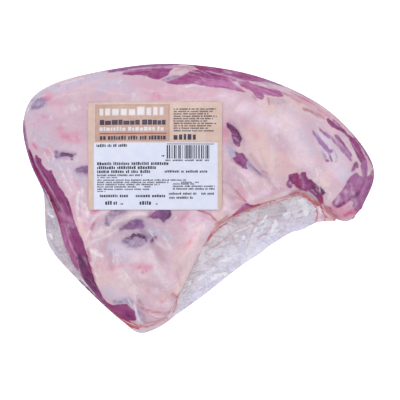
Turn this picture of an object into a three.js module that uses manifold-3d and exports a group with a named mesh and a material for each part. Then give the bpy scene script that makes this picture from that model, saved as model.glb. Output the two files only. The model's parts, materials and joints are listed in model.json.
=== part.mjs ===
// A raw beef tri-tip, shrunk into a clear vacuum bag, with a paper label stuck on the bag.
// The cut lies on its lean side, with the fat cap up. The bag and the meat in it are one closed solid:
// the film is tight on the meat, and stands free of it only as a flat web, which bridges the hollow bend
// of the muscle and the slack at its left side. The label is a thin curved sheet on the top.
//
// Millimetres, +Z up. The origin is on the surface that the pack lies on, under the middle of its outline.
// +X runs towards the nose of the muscle, and +Y towards its long rounded side.

import * as THREE from "three";
import { mergeVertices } from "three/addons/utils/BufferGeometryUtils.js";
import Module from "manifold-3d";

// Driving dimensions
const CROWN_HEIGHT = 51; // the thickest place, under the label
const EDGE_HEIGHT = 16; // height of the widest part of the side above the table
const EDGE_ROUND = 18; // how far in from the outline the top side is rounded
const BASE_ROUND = 14; // the same for the underside
const LABEL_WIDTH = 100;
const LABEL_HEIGHT = 80; // its extent along Y
const LABEL_LEFT = -82.4; // the X of its left side
const LABEL_BOTTOM = -8.5; // the Y of its lower side
const LABEL_THICKNESS = 0.4;
const LABEL_GAP = 0.3; // between the label and the film that it is stuck on
const LABEL_CORNER = 1.2; // how far in each corner is rounded off
const WEB_HEIGHT = 11; // height of the middle of the free film above the table
const WEB_EDGE = 1.6; // thickness of the doubled film at its outer edge
const WEB_ROOT = 7; // how far the web runs on inside the meat, so that the two fuse
const WEB_RISE = 15; // how far its upper layer climbs the side of the meat
const WEB_SLOPE = 0.55; // the most that it climbs for each millimetre of the web's width
const WEB_DROP = 0.35; // how far its lower layer goes down, as a share of that climb
const ROOT_EVENING = 0.03; // share of the root's length over which that direction is evened out

// Mesh steps
const ROWS = 74;
const TOP_COLUMNS = 30;
const EDGE_CROWDING = 0.7; // how much closer together those columns are at the sides, from 0 to 1
const BASE_STEPS = [0, 0.1, 0.3, 0.6, 1]; // shares of BASE_ROUND at which the underside has a vertex
const BASE_MOST = 0.45; // the largest share of a row that BASE_ROUND may take up
const CURVE_STEPS = 1200; // steps at which the length of a curve is measured
const OUTLINE_STEPS = 400; // steps of the outline that distances are measured to
const WEB_ROWS = 64;
const WEB_COLUMNS = 6;
const LABEL_COLUMNS = 20;
const LABEL_ROWS = 16;

// The outline of the meat, in two sides that both run from the tip of the tail to the nose.
const OUTER_SIDE = [
  [-44.5, -99], [-61.5, -90.5], [-89, -61.5], [-101, -41], [-108.5, -14], [-120, 9.5],
  [-129, 29.5], [-134.5, 56], [-128.5, 75.5], [-113.5, 86.5], [-60, 100], [-14, 103],
  [47, 93], [99, 67], [131, 31], [134.5, 16], [124.5, -7],
];
const INNER_SIDE = [
  [-44.5, -99], [-34.5, -97.5], [-24, -91], [-12, -69], [4, -38.5], [12, -25], [22.5, -17],
  [53, -4], [70, 1], [79, 3], [86.5, -1], [104, -15.5], [114, -17], [124.5, -7],
];
// Which share of the outer side's length faces which share of the inner side's.
const FACING = [
  [0, 0], [0.11, 0.24], [0.21, 0.42], [0.36, 0.47], [0.44, 0.52], [0.61, 0.6],
  [0.78, 0.7], [0.86, 0.75], [0.93, 0.81], [0.965, 0.87], [1, 1],
];
// The outer edge of the free film, from the left side round the tail to the nose.
const FILM_EDGE = [
  [-121, 14], [-118.5, 2], [-116.5, -27], [-110, -42], [-93.5, -60.5], [-73, -82],
  [-58.5, -94.5], [-45.5, -103.5], [-33, -100], [-20.5, -91], [4, -73], [29, -54],
  [46, -40.5], [62, -31.5], [78, -22.5], [92, -17.8], [106, -17.4],
];
// Where that film leaves the meat: a share of the outer side, from which its root runs down to the tail,
// and a share of the inner side, to which it then runs.
const ROOT_START = 0.262;
const ROOT_END = 0.885;
// Which share of the film edge's length faces which share of that root.
const WEB_FACING = [
  [0, 0], [0.13, 0.12], [0.25, 0.23], [0.4, 0.37], [0.455, 0.411], [0.54, 0.477],
  [0.635, 0.57], [0.73, 0.65], [0.8, 0.728], [0.91, 0.891], [1, 1],
];

// Places [x, y, height] that the top of the fat cap passes through, apart from its folds.
const CROWN = [
  [-32, 44, CROWN_HEIGHT], [38, 50, CROWN_HEIGHT - 2], [-30, -4, 44], [88, 34, 45], [112, 6, 36],
  [120, -6, 29], [-108, 58, 40], [-100, 20, 39], [-35, 88, 42], [35, 8, 42], [70, 14, 43],
  [-72, -24, 39], [-42, -52, 38], [-45, -84, 29], [-8, -34, 37],
];
const CROWN_REACH = 24;
// Places [x, y, factor] where the rounding of the top side is wider or tighter than EDGE_ROUND.
const SHOULDER = [
  [-112, 10, 1.5], [-96, -32, 1.6], [-78, -64, 1.4], [-30, 95, 1.25], [40, 88, 1.5], [100, 55, 1.35],
  [128, 8, 1.2], [20, -16, 0.55], [60, 0, 0.55], [84, 2, 0.5], [-8, -56, 0.6], [-128, 70, 0.8],
  [-40, -92, 0.8], [108, -14, 0.7],
];
const SHOULDER_REACH = 26;

// Windows in the fat, where the lean lies a little lower, as ellipses:
// [x, y, long half-axis, short half-axis, degrees, depth]
const WINDOWS = [
  [27, 46, 13, 4.5, -62, 3], [32, 27.5, 10, 4.5, -48, 2.4], [78, 11, 20, 7, -36, 3.4],
  [-28, -13.5, 8, 5, -20, 2.4], [-49, -23, 9.5, 5, 8, 2.4], [-46, -34, 13, 4.5, 6, 1.8],
  [-99, 32.5, 7, 2.6, -8, 1.2], [-85, 20.5, 5, 3.6, 20, 1.4], [102, 42, 16, 5, -52, 1.6],
  [-54, -84, 11, 6, -28, 1.8],
];
const WINDOW_FLAT = 0.55; // a window is flat up to this share of its ellipse
const WINDOW_FADE = 1.45; // and ends at this one
// Folds of the fat cap: { path, width, depth }, where a negative depth stands up as a ridge.
const FOLDS = [
  { path: [[-4, -10], [6, -16], [14, -23]], width: 2.6, depth: 3.4 },
  { path: [[-31, -33], [-26, -48], [-19, -64]], width: 4.2, depth: 2.8 },
  { path: [[-38, -34], [-32, -50], [-22, -70]], width: 3.8, depth: -1.8 },
  { path: [[24, 20], [34, 6], [40, -4]], width: 3.6, depth: 2.2 },
  { path: [[30, 24], [42, 8], [50, 0]], width: 3.6, depth: -1.6 },
  { path: [[18, 8], [26, -6], [30, -12]], width: 3.2, depth: 1.8 },
  { path: [[-84, 8], [-80, -10], [-72, -22]], width: 3.6, depth: -1.8 },
  { path: [[-76, 2], [-73, -14], [-66, -24]], width: 3.4, depth: 2 },
  { path: [[-66, -18], [-50, -16], [-40, -8]], width: 3, depth: -1.6 },
  { path: [[75, 70], [90, 62], [100, 52]], width: 3, depth: 1.8 },
  { path: [[-58, -66], [-44, -76], [-28, -82]], width: 4, depth: 1.8 },
  { path: [[-44, -80], [-30, -85], [-20, -85]], width: 2.4, depth: 2 },
];
// Broad unevenness of the fat: [height, wavelength, degrees, phase]
const WAVES = [
  [0.55, 46, 20, 0.4], [0.45, 33, 78, 1.9], [0.4, 27, -38, 3.1], [0.3, 19, 55, 5.2],
];
const LABEL_PRESS = 7; // distance over which the relief fades out around the label
const RELIEF_START = 9; // distance in from the outline over which it fades in

// A smooth plane curve through the points.
function curveThrough(points) {
  const corners = points.map(([x, y]) => new THREE.Vector3(x, y, 0));
  const curve = new THREE.CatmullRomCurve3(corners, false, "centripetal");
  curve.arcLengthDivisions = CURVE_STEPS;
  return curve;
}

// The value at t of a table of [t, value] steps, straight between them.
function step(table, t) {
  const k = Math.max(1, table.findIndex(([at]) => at >= t));
  const [[t0, v0], [t1, v1]] = [table[k - 1], table[k]];
  return v0 + ((v1 - v0) * (t - t0)) / (t1 - t0);
}

// The weighted mean of the third entry of the places, by their distance from x, y.
function near(places, reach, x, y) {
  let sum = 0;
  let weights = 0;
  for (const [px, py, value] of places) {
    const weight = Math.exp(-((x - px) ** 2 + (y - py) ** 2) / (2 * reach ** 2)) + 1e-9;
    sum += weight * value;
    weights += weight;
  }
  return sum / weights;
}

function ease(t) {
  const u = THREE.MathUtils.clamp(t, 0, 1);
  return u * u * (3 - 2 * u);
}

// A quarter circle: 0 at the outline and 1 from t = 1 inwards.
function round(t) {
  const u = THREE.MathUtils.clamp(t, 0, 1);
  return Math.sqrt(1 - (1 - u) ** 2);
}

// Distance from x, y to a path of straight stretches.
function pathDistance(path, x, y) {
  let least = Infinity;
  for (let k = 1; k < path.length; k++) {
    const [[ax, ay], [bx, by]] = [path[k - 1], path[k]];
    const along = ((x - ax) * (bx - ax) + (y - ay) * (by - ay)) / ((bx - ax) ** 2 + (by - ay) ** 2);
    const t = THREE.MathUtils.clamp(along, 0, 1);
    least = Math.min(least, Math.hypot(x - ax - t * (bx - ax), y - ay - t * (by - ay)));
  }
  return least;
}

const outerSide = curveThrough(OUTER_SIDE);
const innerSide = curveThrough(INNER_SIDE);
const filmEdge = curveThrough(FILM_EDGE);
const outline = [
  ...outerSide.getSpacedPoints(OUTLINE_STEPS),
  ...innerSide.getSpacedPoints(OUTLINE_STEPS).reverse().slice(1),
].map((p) => [p.x, p.y]);

// How much of the relief is left at x, y: none where the label presses the fat smooth.
function reliefShare(x, y) {
  const dx = Math.max(LABEL_LEFT - x, 0, x - LABEL_LEFT - LABEL_WIDTH);
  const dy = Math.max(LABEL_BOTTOM - y, 0, y - LABEL_BOTTOM - LABEL_HEIGHT);
  return ease((Math.hypot(dx, dy) - 1) / LABEL_PRESS);
}

// The height that windows, folds and waves add to the smooth fat cap.
function relief(x, y) {
  let height = 0;
  for (const [cx, cy, long, short, degrees, depth] of WINDOWS) {
    const turn = THREE.MathUtils.degToRad(degrees);
    const along = (x - cx) * Math.cos(turn) + (y - cy) * Math.sin(turn);
    const across = (y - cy) * Math.cos(turn) - (x - cx) * Math.sin(turn);
    const out = Math.hypot(along / long, across / short);
    height -= depth * ease((WINDOW_FADE - out) / (WINDOW_FADE - WINDOW_FLAT));
  }
  for (const { path, width, depth } of FOLDS) {
    height -= depth * Math.exp(-((pathDistance(path, x, y) / width) ** 2));
  }
  for (const [size, length, degrees, phase] of WAVES) {
    const turn = THREE.MathUtils.degToRad(degrees);
    const along = x * Math.cos(turn) + y * Math.sin(turn);
    height += size * Math.sin((2 * Math.PI * along) / length + phase);
  }
  return height * reliefShare(x, y);
}

// The smooth top of the fat cap, far from the edge.
function crown(x, y) {
  return near(CROWN, CROWN_REACH, x, y);
}

// The top of the meat at x, y, which lies depth inside the outline.
function topHeight(x, y, depth) {
  const rounded = round(depth / (EDGE_ROUND * near(SHOULDER, SHOULDER_REACH, x, y)));
  const smooth = THREE.MathUtils.lerp(EDGE_HEIGHT, crown(x, y), rounded);
  return smooth + relief(x, y) * ease(depth / RELIEF_START);
}

// A BufferGeometry from a list of [x, y, z] and a list of corner triples.
function solidGeometry(vertices, triangles) {
  const geometry = new THREE.BufferGeometry();
  geometry.setAttribute("position", new THREE.Float32BufferAttribute(vertices.flat(), 3));
  geometry.setIndex(triangles.flat());
  return mergeVertices(geometry, 1e-3);
}

// Two triangles for each cell of a grid whose vertex numbers are given by at(row, column).
function gridTriangles(rows, columns, at, up) {
  const triangles = [];
  for (let i = 0; i < rows; i++) {
    for (let j = 0; j < columns; j++) {
      const [a, b, c, d] = [at(i, j), at(i, j + 1), at(i + 1, j + 1), at(i + 1, j)];
      triangles.push(...(up ? [[a, b, c], [a, c, d]] : [[a, c, b], [a, d, c]]));
    }
  }
  return triangles.filter(([a, b, c]) => a !== b && b !== c && a !== c);
}

// The meat: rows run across it from the outer to the inner side, over the top and back underneath.
// Both sheets share the vertices of the outline, and the rows shrink to a point at the tail and the nose.
function meatSolid(wasm) {
  const vertices = [];
  const add = (x, y, z) => vertices.push([x, y, z]) - 1;
  const top = [];
  const base = [];
  for (let i = 0; i <= ROWS; i++) {
    const share = i / ROWS;
    const a = outerSide.getPointAt(share);
    const b = innerSide.getPointAt(step(FACING, share));
    if (i === 0 || i === ROWS) {
      const tip = add(a.x, a.y, EDGE_HEIGHT);
      top.push(Array(TOP_COLUMNS + 1).fill(tip));
      base.push(Array(2 * BASE_STEPS.length).fill(tip));
      continue;
    }
    const place = (s) => [a.x + s * (b.x - a.x), a.y + s * (b.y - a.y)];
    const topRow = [];
    for (let j = 0; j <= TOP_COLUMNS; j++) {
      const even = j / TOP_COLUMNS;
      const crowded = 0.5 - 0.5 * Math.cos(Math.PI * even);
      const [x, y] = place(THREE.MathUtils.lerp(even, crowded, EDGE_CROWDING));
      const depth = j % TOP_COLUMNS ? pathDistance(outline, x, y) : 0;
      topRow.push(add(x, y, topHeight(x, y, depth)));
    }
    const span = a.distanceTo(b);
    const inset = Math.min(BASE_ROUND / span, BASE_MOST);
    const baseRow = BASE_STEPS.map((t) => {
      if (t === 0) return topRow[0];
      return add(...place(t * inset), EDGE_HEIGHT * (1 - round(t)));
    });
    const farRow = BASE_STEPS.map((t) => {
      if (t === 0) return topRow[TOP_COLUMNS];
      return add(...place(1 - t * inset), EDGE_HEIGHT * (1 - round(t)));
    });
    top.push(topRow);
    base.push([...baseRow, ...farRow.reverse()]);
  }
  const triangles = [
    ...gridTriangles(ROWS, TOP_COLUMNS, (i, j) => top[i][j], true),
    ...gridTriangles(ROWS, 2 * BASE_STEPS.length - 1, (i, j) => base[i][j], false),
  ];
  return asManifold(wasm, solidGeometry(vertices, triangles));
}

// The point of the meat's outline at a share of the web's root.
function rootPoint(share) {
  const outerLength = outerSide.getLength() * ROOT_START;
  const innerLength = innerSide.getLength() * ROOT_END;
  const run = share * (outerLength + innerLength);
  if (run < outerLength) return outerSide.getPointAt(ROOT_START * (1 - run / outerLength));
  return innerSide.getPointAt(Math.min(1, (ROOT_END * (run - outerLength)) / innerLength));
}

// The direction from the web's root into the meat, evened out so that it turns slowly round the tail.
function inward(share) {
  const before = rootPoint(Math.max(0, share - ROOT_EVENING));
  const after = rootPoint(Math.min(1, share + ROOT_EVENING));
  return new THREE.Vector3(before.y - after.y, after.x - before.x, 0).normalize();
}

// The free film: a web that is thick where its two layers leave the meat and thin at its outer edge.
function webSolid(wasm) {
  const vertices = [];
  const add = (x, y, z) => vertices.push([x, y, z]) - 1;
  const upper = [];
  const lower = [];
  for (let i = 0; i <= WEB_ROWS; i++) {
    const share = i / WEB_ROWS;
    const edge = filmEdge.getPointAt(share);
    const rootShare = step(WEB_FACING, share);
    const root = rootPoint(rootShare);
    const rise = Math.min(WEB_RISE, WEB_SLOPE * edge.distanceTo(root));
    const upperRow = [];
    const lowerRow = [];
    for (let j = 0; j <= WEB_COLUMNS; j++) {
      const out = Math.max(0, (j - 1) / (WEB_COLUMNS - 1));
      const taper = (1 - out) ** 2;
      const place = root.clone().lerp(edge, out);
      if (j === 0) place.addScaledVector(inward(rootShare), WEB_ROOT);
      upperRow.push(add(place.x, place.y, WEB_HEIGHT + WEB_EDGE / 2 + rise * taper));
      lowerRow.push(add(place.x, place.y, WEB_HEIGHT - WEB_EDGE / 2 - WEB_DROP * rise * taper));
    }
    upper.push(upperRow);
    lower.push(lowerRow);
  }
  const ring = upper.map((row, i) => [...row, ...lower[i].slice().reverse(), row[0]]);
  const around = ring[0].length - 1;
  const ends = [[ring[0], false], [ring[WEB_ROWS], true]].flatMap(([loop, turned]) =>
    gridTriangles(1, WEB_COLUMNS, (i, j) => (i ? loop[around - 1 - j] : loop[j]), turned),
  );
  const triangles = [...gridTriangles(WEB_ROWS, around, (i, j) => ring[i][j], true), ...ends];
  return asManifold(wasm, solidGeometry(vertices, triangles));
}

// The label: a thin sheet that follows the smooth crown of the meat under it, a gap above it.
function labelGeometry() {
  const vertices = [];
  const sheets = [LABEL_GAP + LABEL_THICKNESS, LABEL_GAP].map((lift) => {
    const rows = [];
    for (let i = 0; i <= LABEL_ROWS; i++) {
      rows.push([]);
      for (let j = 0; j <= LABEL_COLUMNS; j++) {
        const [u, v] = [j / LABEL_COLUMNS, i / LABEL_ROWS];
        const corner = u % 1 === 0 && v % 1 === 0 ? LABEL_CORNER : 0;
        const x = LABEL_LEFT + u * LABEL_WIDTH + corner * (1 - 2 * u);
        const y = LABEL_BOTTOM + v * LABEL_HEIGHT + corner * (1 - 2 * v);
        rows[i].push(vertices.push([x, y, crown(x, y) + lift]) - 1);
      }
    }
    return rows;
  });
  const [upper, lower] = sheets;
  const border = (rows) => [
    ...rows[0],
    ...rows.slice(1).map((row) => row[LABEL_COLUMNS]),
    ...rows[LABEL_ROWS].slice(0, -1).reverse(),
    ...rows.slice(1, -1).map((row) => row[0]).reverse(),
    rows[0][0],
  ];
  const sides = [border(lower), border(upper)];
  const triangles = [
    ...gridTriangles(LABEL_ROWS, LABEL_COLUMNS, (i, j) => upper[i][j], true),
    ...gridTriangles(LABEL_ROWS, LABEL_COLUMNS, (i, j) => lower[i][j], false),
    ...gridTriangles(1, sides[0].length - 1, (i, j) => sides[i][j], true),
  ];
  return solidGeometry(vertices, triangles);
}

function asManifold(wasm, geometry) {
  const made = new wasm.Manifold(
    new wasm.Mesh({
      numProp: 3,
      vertProperties: geometry.attributes.position.array,
      triVerts: new Uint32Array(geometry.index.array),
    }),
  );
  if (made.volume() < 0) throw new Error("a solid is inside out");
  return made;
}

function asGeometry(manifold) {
  const { vertProperties, triVerts } = manifold.getMesh();
  const geometry = new THREE.BufferGeometry();
  geometry.setAttribute("position", new THREE.BufferAttribute(vertProperties, 3));
  geometry.setIndex(new THREE.BufferAttribute(triVerts, 1));
  geometry.computeVertexNormals();
  return geometry;
}

function namedMesh(name, geometry, color, roughness) {
  const material = new THREE.MeshStandardMaterial({ color, roughness, metalness: 0 });
  const mesh = new THREE.Mesh(geometry, material);
  mesh.name = name;
  return mesh;
}

const wasm = await Module();
wasm.setup();

const bagged = meatSolid(wasm).add(webSolid(wasm));

const pack = new THREE.Group();
pack.add(namedMesh("bagged_tri_tip", asGeometry(bagged), 0xe3c4c8, 0.3));
pack.add(namedMesh("label", labelGeometry(), 0xdcc0ac, 0.6));

export default pack;
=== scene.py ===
# %% [markdown]
# # A raw beef tri-tip in a clear vacuum bag
#
# The real object is one muscle with its cap of fat, shrunk tight in clear film, with a paper label
# stuck on the film. From above it is a pink-white landscape with dark lean showing through in places,
# wet and glossy, and where the muscle bends, the film stands free of it as a crumpled web.
#
# The packed model gives the true size and place of everything. This script builds the visible skin
# over it: the beef, the film, the label and its print, each as a surface worked out with numpy.

# %% The frame
import json
import math

import bpy
import numpy as np
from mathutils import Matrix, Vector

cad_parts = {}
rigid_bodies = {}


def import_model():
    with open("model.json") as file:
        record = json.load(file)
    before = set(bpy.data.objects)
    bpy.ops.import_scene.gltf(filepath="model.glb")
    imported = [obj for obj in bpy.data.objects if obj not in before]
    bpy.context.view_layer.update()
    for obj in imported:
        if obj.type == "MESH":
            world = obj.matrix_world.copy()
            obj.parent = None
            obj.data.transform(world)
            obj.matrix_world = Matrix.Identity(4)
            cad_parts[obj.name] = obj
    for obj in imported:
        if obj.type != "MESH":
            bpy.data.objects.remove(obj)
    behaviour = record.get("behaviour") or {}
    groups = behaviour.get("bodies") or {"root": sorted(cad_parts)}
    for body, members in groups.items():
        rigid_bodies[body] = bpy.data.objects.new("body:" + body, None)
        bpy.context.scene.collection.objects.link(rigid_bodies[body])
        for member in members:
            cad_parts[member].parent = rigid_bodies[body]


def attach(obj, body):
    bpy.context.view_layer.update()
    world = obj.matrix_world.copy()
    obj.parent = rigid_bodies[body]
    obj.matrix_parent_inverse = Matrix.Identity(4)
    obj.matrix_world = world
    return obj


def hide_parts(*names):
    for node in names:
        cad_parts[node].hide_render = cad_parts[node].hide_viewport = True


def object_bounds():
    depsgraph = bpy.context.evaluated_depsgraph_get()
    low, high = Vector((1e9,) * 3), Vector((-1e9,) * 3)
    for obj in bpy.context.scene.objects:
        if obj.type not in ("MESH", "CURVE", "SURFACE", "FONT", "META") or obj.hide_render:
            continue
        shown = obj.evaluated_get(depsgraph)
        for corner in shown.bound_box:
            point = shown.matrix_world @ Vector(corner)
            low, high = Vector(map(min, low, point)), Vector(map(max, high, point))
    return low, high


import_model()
CAD_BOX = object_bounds()
MM = 0.001
SIZE_MM = [(high - low) / MM for low, high in zip(*CAD_BOX)]
print("the packed model is", [round(side, 1) for side in SIZE_MM], "mm")

# %% [markdown]
# ## The camera comes first
#
# The photograph looks straight down on the pack from about a metre away. A lens that long bends
# little, but the top of the meat is nearer to it than the table is, so it shows three per cent
# larger. The same simple projection is used twice: Blender's camera has it, and the function below
# gives the place in the photograph of any point of the surface. So a patch of lean can be outlined
# where the photograph shows it, and it still lies on the meat at its own height.

# %% The camera and its projection
PHOTO_SIDE = 400  # the photograph is this many pixels wide and high
CAMERA_HEIGHT = 1000.0  # mm above the table
CAMERA_X, CAMERA_Y = 1.15, -1.15  # mm from the middle of the pack
FOCAL_PIXELS = 1285.0  # focal length, in pixels of the photograph
SENSOR = 36.0  # mm, the width of the camera's film gate
PIXELS_PER_MM = FOCAL_PIXELS / (CAMERA_HEIGHT - 40.0)  # on the fat cap, about 40 mm up


def seen_at(x, y, z):
    """The pixel of the photograph that shows a point: its offset from the camera's axis, times the
    focal length, over its distance below the camera."""
    scale = FOCAL_PIXELS / (CAMERA_HEIGHT - z)
    half = PHOTO_SIDE / 2
    return half + (x - CAMERA_X) * scale, half - (y - CAMERA_Y) * scale


camera_data = bpy.data.cameras.new("camera")
camera_data.sensor_width = SENSOR
camera_data.lens = FOCAL_PIXELS * SENSOR / PHOTO_SIDE
camera_data.clip_start = 0.01
camera = bpy.data.objects.new("camera", camera_data)
camera.location = (CAMERA_X * MM, CAMERA_Y * MM, CAMERA_HEIGHT * MM)
bpy.context.scene.collection.objects.link(camera)
bpy.context.scene.camera = camera
print("the lens is", round(camera_data.lens, 1), "mm")

# %% [markdown]
# ## Curves and other small tools
#
# The outline of the meat is drawn by a few points that lie on it, with a smooth curve through them.
# The centripetal kind of Catmull-Rom curve is used, because it makes no loops or overshoots where the
# points are unevenly spaced. A curve is kept as many short stretches, and read by its length, so that
# equal shares of it are equal distances.

# %% Curves in the plane
CURVE_STEPS = 1200  # short stretches in a curve


def smooth_curve(points):
    """Points along a smooth curve through the given ones. Between two points it is a cubic whose
    slopes weigh the neighbours by the square root of their distance."""
    p = np.array(points, float)
    p = np.vstack([2 * p[0] - p[1], p, 2 * p[-1] - p[-2]])
    along = np.linspace(0, len(points) - 1, CURVE_STEPS + 1)
    k = np.minimum(along.astype(int), len(points) - 2)
    t = (along - k)[:, None]
    p0, p1, p2, p3 = p[k], p[k + 1], p[k + 2], p[k + 3]
    d0, d1, d2 = [np.sqrt(np.hypot(*(b - a).T))[:, None] for a, b in ((p0, p1), (p1, p2), (p2, p3))]
    start = ((p1 - p0) / d0 - (p2 - p0) / (d0 + d1) + (p2 - p1) / d1) * d1
    end = ((p2 - p1) / d1 - (p3 - p1) / (d1 + d2) + (p3 - p2) / d2) * d1
    square = -3 * p1 + 3 * p2 - 2 * start - end
    cube = 2 * p1 - 2 * p2 + start + end
    return p1 + start * t + square * t**2 + cube * t**3


def run_of(curve):
    """The distance along the curve of each of its points."""
    return np.concatenate([[0], np.cumsum(np.hypot(*np.diff(curve, axis=0).T))])


def at_share(curve, share):
    """The points of the curve at the given shares of its length."""
    run = run_of(curve)
    place = np.asarray(share) * run[-1]
    return np.stack([np.interp(place, run, curve[:, 0]), np.interp(place, run, curve[:, 1])], -1)


def step(table, t):
    """The value at t of a table of (t, value) pairs, straight between them."""
    ts, values = zip(*table)
    return np.interp(t, ts, values)


def ease(t):
    """0 below 0, 1 above 1, and 3t² - 2t³ between."""
    u = np.clip(t, 0, 1)
    return u * u * (3 - 2 * u)


def quarter(t):
    """The height of a quarter circle: 0 at t = 0 and 1 from t = 1 on."""
    u = np.clip(t, 0, 1)
    return np.sqrt(1 - (1 - u) ** 2)


def near(places, reach, x, y):
    """The mean of the third entry of the places, weighted by a bell curve of their distance."""
    total = np.zeros(np.shape(x))
    weights = np.full(np.shape(x), 1e-9)
    for px, py, value in places:
        weight = np.exp(-((x - px) ** 2 + (y - py) ** 2) / (2 * reach**2)) + 1e-9
        total += weight * value
        weights += weight
    return total / weights


def path_distance(path, x, y):
    """The distance from each x, y to a line of straight stretches: the least of the distances to the
    nearest point of each stretch."""
    least = np.full(np.shape(x), np.inf)
    for (ax, ay), (bx, by) in zip(path[:-1], path[1:]):
        long = (bx - ax) ** 2 + (by - ay) ** 2 + 1e-12
        t = np.clip(((x - ax) * (bx - ax) + (y - ay) * (by - ay)) / long, 0, 1)
        least = np.minimum(least, np.hypot(x - ax - t * (bx - ax), y - ay - t * (by - ay)))
    return least


def inside(ring, x, y):
    """Whether each x, y is inside a closed ring: a ray to the right crosses it an odd number of times."""
    crossed = np.zeros(np.shape(x), bool)
    for (ax, ay), (bx, by) in zip(ring, np.roll(ring, -1, axis=0)):
        spans = (ay > y) != (by > y)
        crossed ^= spans & (x < ax + (bx - ax) * (y - ay) / (by - ay + 1e-12))
    return crossed


def ring_distance(ring, x, y):
    """How far each x, y is inside a closed ring, negative outside."""
    distance = path_distance([*ring, ring[0]], x, y)
    return np.where(inside(np.array(ring), x, y), distance, -distance)


def hills(x, y, size, seed):
    """Smooth random hills between -1 and 1: random heights on a square lattice, eased between."""
    table = np.random.default_rng(seed).uniform(-1, 1, (64, 64))
    u, v = x / size + 1000, y / size + 1000
    i, j = np.floor(u).astype(int), np.floor(v).astype(int)
    s, t = ease(u - i), ease(v - j)
    a, b = table[i % 64, j % 64], table[(i + 1) % 64, j % 64]
    c, d = table[i % 64, (j + 1) % 64], table[(i + 1) % 64, (j + 1) % 64]
    return (a + (b - a) * s) * (1 - t) + (c + (d - c) * s) * t


print("a curve has", CURVE_STEPS, "stretches, and ease(0.25) is", round(float(ease(0.25)), 3))

# %% [markdown]
# ## The form of the meat
#
# The outline is two sides that both run from the tip of the tail to the nose: the long round outer
# side, and the inner side with the bend. Rows across the meat join them. The height over a row is
# worked out from the distance to the outline: a rounded shoulder, then the smooth crown of the fat
# cap, then the windows, folds and waves in it. These are the forms of the solid model. Only the
# outline is drawn a millimetre or two closer to the photograph.

# %% The outline and the heights of the meat
OUTER_SIDE = smooth_curve([
    (-44.5, -99), (-61.5, -90.5), (-89, -61.5), (-101, -41), (-108.9, -14.2), (-120.7, 9.2),
    (-129.6, 29.3), (-134.5, 56), (-128.5, 75.5), (-113.7, 86.8), (-60, 100.2), (-14, 103.2),
    (47, 93.2), (99.6, 67.6), (131.4, 31.2), (134.6, 16), (125.3, -7.4),
])
INNER_SIDE = smooth_curve([
    (-44.5, -99), (-34.5, -97.5), (-24, -91), (-12, -69), (4, -38.5), (12, -25), (22.5, -17),
    (53, -4), (70, 1), (79, 3), (86.5, -1), (104, -15.5), (115.2, -17.3), (125.3, -7.4),
])
FACING = [  # share of the outer side, and the share of the inner side that a row runs to
    (0, 0), (0.11, 0.24), (0.21, 0.42), (0.36, 0.47), (0.44, 0.52), (0.61, 0.6),
    (0.78, 0.7), (0.86, 0.75), (0.93, 0.81), (0.965, 0.87), (1, 1),
]
OUTER_POINTS, INNER_POINTS = 201, 151
OUTLINE = np.vstack([
    at_share(OUTER_SIDE, np.linspace(0, 1, OUTER_POINTS)),
    at_share(INNER_SIDE, np.linspace(0, 1, INNER_POINTS))[::-1][1:],
])

EDGE_HEIGHT = 16.0  # mm above the table, where the side is widest
EDGE_ROUND = 18.0  # mm, how far in the upper shoulder reaches
BASE_ROUND = 14.0  # mm, how far in the lower edge is rounded
CROWN_HEIGHT = 51.0
CROWN = [  # x, y and the height of the cap there
    (-32, 44, CROWN_HEIGHT), (38, 50, CROWN_HEIGHT - 2), (-30, -4, 44), (88, 34, 45), (112, 6, 36),
    (120, -6, 29), (-108, 58, 40), (-100, 20, 39), (-35, 88, 42), (35, 8, 42), (70, 14, 43),
    (-72, -24, 39), (-42, -52, 38), (-45, -84, 29), (-8, -34, 37),
]
CROWN_REACH = 24
SHOULDER = [  # x, y and how many times wider the shoulder is there
    (-112, 10, 1.5), (-96, -32, 1.6), (-78, -64, 1.4), (-30, 95, 1.25), (40, 88, 1.5), (100, 55, 1.35),
    (128, 8, 1.2), (20, -16, 0.55), (60, 0, 0.55), (84, 2, 0.5), (-8, -56, 0.6), (-128, 70, 0.8),
    (-40, -92, 0.8), (108, -14, 0.7),
]
SHOULDER_REACH = 26
WINDOWS = [  # x, y, half length, half width, degrees and depth
    (27, 46, 13, 4.5, -62, 3), (32, 27.5, 10, 4.5, -48, 2.4), (78, 11, 20, 7, -36, 3.4),
    (-28, -13.5, 8, 5, -20, 2.4), (-49, -23, 9.5, 5, 8, 2.4), (-46, -34, 13, 4.5, 6, 1.8),
    (-99, 32.5, 7, 2.6, -8, 1.2), (-85, 20.5, 5, 3.6, 20, 1.4), (102, 42, 16, 5, -52, 1.6),
    (-54, -84, 11, 6, -28, 1.8),
]
WINDOW_FLAT, WINDOW_FADE = 0.55, 1.45  # shares of its half width: flat up to one, gone at the other
FOLDS = [  # line, width and depth, where less than nothing is a ridge
    ([(-4, -10), (6, -16), (14, -23)], 2.6, 3.4),
    ([(-31, -33), (-26, -48), (-19, -64)], 4.2, 2.8),
    ([(-38, -34), (-32, -50), (-22, -70)], 3.8, -1.8),
    ([(24, 20), (34, 6), (40, -4)], 3.6, 2.2),
    ([(30, 24), (42, 8), (50, 0)], 3.6, -1.6),
    ([(18, 8), (26, -6), (30, -12)], 3.2, 1.8),
    ([(-84, 8), (-80, -10), (-72, -22)], 3.6, -1.8),
    ([(-76, 2), (-73, -14), (-66, -24)], 3.4, 2),
    ([(-66, -18), (-50, -16), (-40, -8)], 3, -1.6),
    ([(75, 70), (90, 62), (100, 52)], 3, 1.8),
    ([(-58, -66), (-44, -76), (-28, -82)], 4, 1.8),
    ([(-44, -80), (-30, -85), (-20, -85)], 2.4, 2),
]
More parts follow.
